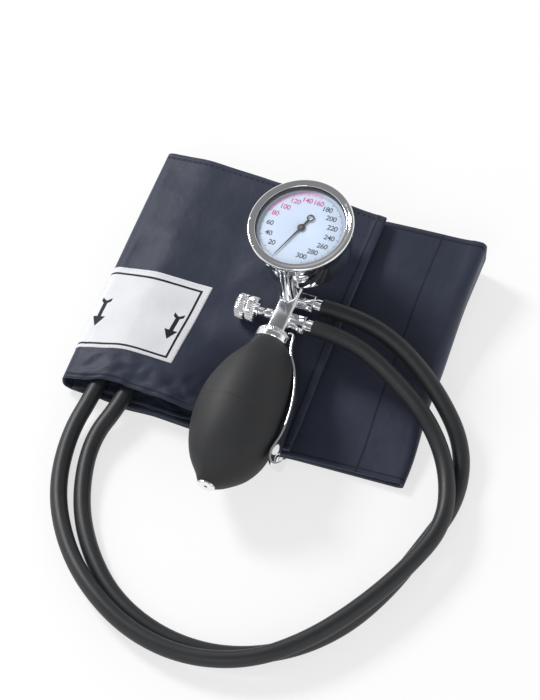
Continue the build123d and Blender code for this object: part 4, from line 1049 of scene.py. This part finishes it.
def tickPiece(name, values, finish):
    bm = bmesh.new()
    for value in values:
        kind = 0 if value % 20 == 0 else 1 if value % 10 == 0 else 2
        inside, outside = scale["tickIn"] + scale["tickShorter"][kind], scale["tickOut"]
        made = box(bm, (outside - inside, scale["tickWidths"][kind], 0.03),
                   ((outside + inside) / 2, 0, gauge["dial"] + scale["tickLift"]))
        turn = Matrix.Translation(Vector(gaugeCentre) * mm) @ Matrix.Rotation(scaleAngle(value), 4, "Z")
        bmesh.ops.transform(bm, matrix=turn, verts=made)
    keep(name, bm, finish, place=handset)


def bandPiece():
    # the pale band behind the pink stretch of the scale
    bm = bmesh.new()
    start, end = scaleAngle(scale["pinkFrom"]), scaleAngle(scale["pinkTo"])
    ends = [bm.verts.new(dialPoint(start, r, scale["bandLift"])) for r in (scale["tickIn"] - 0.2, scale["tickOut"])]
    edge = bm.edges.new(ends)
    bmesh.ops.spin(bm, geom=ends + [edge], cent=Vector(gaugeCentre) * mm, axis=(0, 0, 1), angle=end - start, steps=48,
                   use_merge=False)
    for face in bm.faces:
        if face.normal.z < 0:
            face.normal_flip()
    keep("scaleBandPink", bm, paleInk, place=handset)


def numberPiece(name, values, finish):
    bm = bmesh.new()
    for value in values:
        text = bpy.data.curves.new("number", "FONT")
        text.body = str(value)
        text.size = scale["cap"] / 0.72 * mm  # the font's capitals are 0.72 of its size
        text.align_x, text.align_y = "CENTER", "CENTER"
        text.extrude = 0.012 * mm
        text.offset = 0.07 * mm
        text.space_character = 0.94
        holder = bpy.data.objects.new("number", text)
        mesh = bpy.data.meshes.new_from_object(holder)
        angle = scaleAngle(value)
        sideways = value >= 100 and abs(math.cos(angle)) > 0.6
        reach = scale["numbers"] - (scale["wideNumbersIn"] if sideways else 0.0)
        mesh.transform(Matrix.Translation(dialPoint(angle, reach, scale["numberLift"])))
        bm.from_mesh(mesh)
        bpy.data.objects.remove(holder)
        bpy.data.curves.remove(text)
        bpy.data.meshes.remove(mesh)
    keep(name, bm, finish, place=handset, sharp=30)


ticks = range(0, 301, 2)
numbers = range(20, 301, 20)
tickPiece("scaleTicksGrey", [v for v in ticks if not isPink(v)], greyInk)
tickPiece("scaleTicksPink", [v for v in ticks if isPink(v)], pinkInk)
bandPiece()
numberPiece("scaleNumbersGrey", [v for v in numbers if not isPink(v)], greyInk)
numberPiece("scaleNumbersPink", [v for v in numbers if isPink(v)], pinkInk)

pointer = {"tip": 22.6, "back": 6.0, "tail": 10.4, "width": 1.35, "taper": 0.3, "height": 34.8, "ring": 2.3}


def pointerPiece():
    tip, back, height = pointer["tip"], pointer["back"], pointer["height"]
    bm = bmesh.new()
    lathe(bm, [(0.55, 34.55), (2.3, 34.55), (2.3, 34.95), (1.3, 35.2), (0.55, 35.25)], "Z", gaugeCentre, 48)
    for vert in box(bm, (tip + back, pointer["width"], 0.3), ((tip - back) / 2, 0, height)):
        if vert.co.x > 0:
            vert.co.y *= pointer["taper"]
    ring = bmesh.new()
    lathe(ring, [(1.5, -0.15), (pointer["ring"], -0.15), (pointer["ring"], 0.15), (1.5, 0.15)], "Z", steps=40)
    bmesh.ops.translate(ring, vec=Vector((-pointer["tail"] + pointer["ring"], 0, height)) * mm, verts=ring.verts)
    addTo(bm, ring)
    # the hub is made in its place, and the needle and its ring at the origin
    needle = [v for v in bm.verts if v.co.y < 0.02]
    turn = Matrix.Translation(Vector(gaugeCentre) * mm) @ Matrix.Rotation(scaleAngle(0), 4, "Z")
    bmesh.ops.transform(bm, matrix=turn, verts=needle)
    softenEdges(bm, 0.06, 40.0, 2)
    keep("gaugePointer", bm, printFinish("pointerPaint", (0.006, 0.008, 0.014)), ["pointer"],
         handset, 40, "pointer_set")


pointerPiece()
print("gauge ready")

# finishes of the CAD pieces that stay as they are
staying = {
    brassFinish: ["valve_seat", "lower_plate", "upper_plate", "plate_pillars", "case_standoffs", "pinion_arbor",
                  "sector_gear", "capsule_upper", "capsule_lower", "capsule_boss", "capsule_pin", "inlet_pipe",
                  "spring_stud"],
    steelFinish: ["valve_needle", "hairspring", "outlet_valve_cage", "end_valve_cage", "rocking_shaft"],
    sealFinish: ["end_valve_disc", "outlet_valve_disc", "valve_o_ring", "lens_gasket"],
}
for finish, names in staying.items():
    for name in names:
        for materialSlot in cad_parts[name].material_slots:
            materialSlot.material = finish.material

# floor, world and lamps; each lamp has its place, size and power
studio = {"floor": 0.93, "shadowShare": 0.32, "ceiling": 0.24, "wallTop": 0.34, "wallFade": 0.40,
          "lamps": (((-1.55, 0.55, 1.45), 0.55, 38.0), ((1.5, -0.5, 1.0), 0.9, 2.5), ((0.2, -1.6, 1.5), 0.9, 7.0))}


def floorPiece():
    bm = bmesh.new()
    bmesh.ops.create_grid(bm, x_segments=1, y_segments=1, size=4.0)
    mesh = bpy.data.meshes.new("floor")
    bm.to_mesh(mesh)
    bm.free()
    finish = Finish("floorPaper", Base_Color=(studio["floor"],) * 3 + (1.0,), Roughness=0.9, Specular_IOR_Level=0.0)
    rays = finish.add("ShaderNodeLightPath").socket.node
    seen = Wire(finish, rays.outputs["Is Camera Ray"]).larger(Wire(finish, rays.outputs["Is Glossy Ray"]))
    seen = seen.larger(Wire(finish, rays.outputs["Is Transmission Ray"]))
    glow = finish.add("ShaderNodeEmission", values={"Color": (1.0, 1.0, 1.0, 1.0), "Strength": 1.0})
    paper = Wire(finish, finish.shader.outputs[0])
    both = finish.add("ShaderNodeMixShader", values={0: seen * (1 - studio["shadowShare"]), 1: paper, 2: glow})
    finish.feed(finish.tree.nodes["Material Output"].inputs["Surface"], both)
    mesh.materials.append(finish.material)
    floor = newObject("floor", mesh)


def lamp(place, size, power):
    light = newObject("softLamp", bpy.data.lights.new("softLamp", "AREA"))
    light.data.shape = "SQUARE"
    light.data.size = size
    light.data.energy = power
    light.location = place
    light.rotation_euler = (-Vector(place)).to_track_quat("-Z", "Y").to_euler()


floorPiece()
for place, size, power in studio["lamps"]:
    lamp(place, size, power)
world = bpy.data.worlds.new("studio")
world.use_nodes = True
sky = NodeTree(world.node_tree)
up = sky.split(sky.add("ShaderNodeTexCoord", output=0))[2]
wall = 1.0 - up.above(studio["wallTop"], studio["wallFade"])
level = wall * (1.0 - studio["ceiling"]) + studio["ceiling"]
seen = sky.add("ShaderNodeLightPath", output=0)
level = level.larger(seen)
sky.feed(sky.tree.nodes["Background"].inputs["Color"], (1.0, 1.0, 1.0, 1.0))
sky.feed(sky.tree.nodes["Background"].inputs["Strength"], level)
bpy.context.scene.world = world
bpy.context.scene.view_settings.view_transform = "Standard"
print("studio lit")
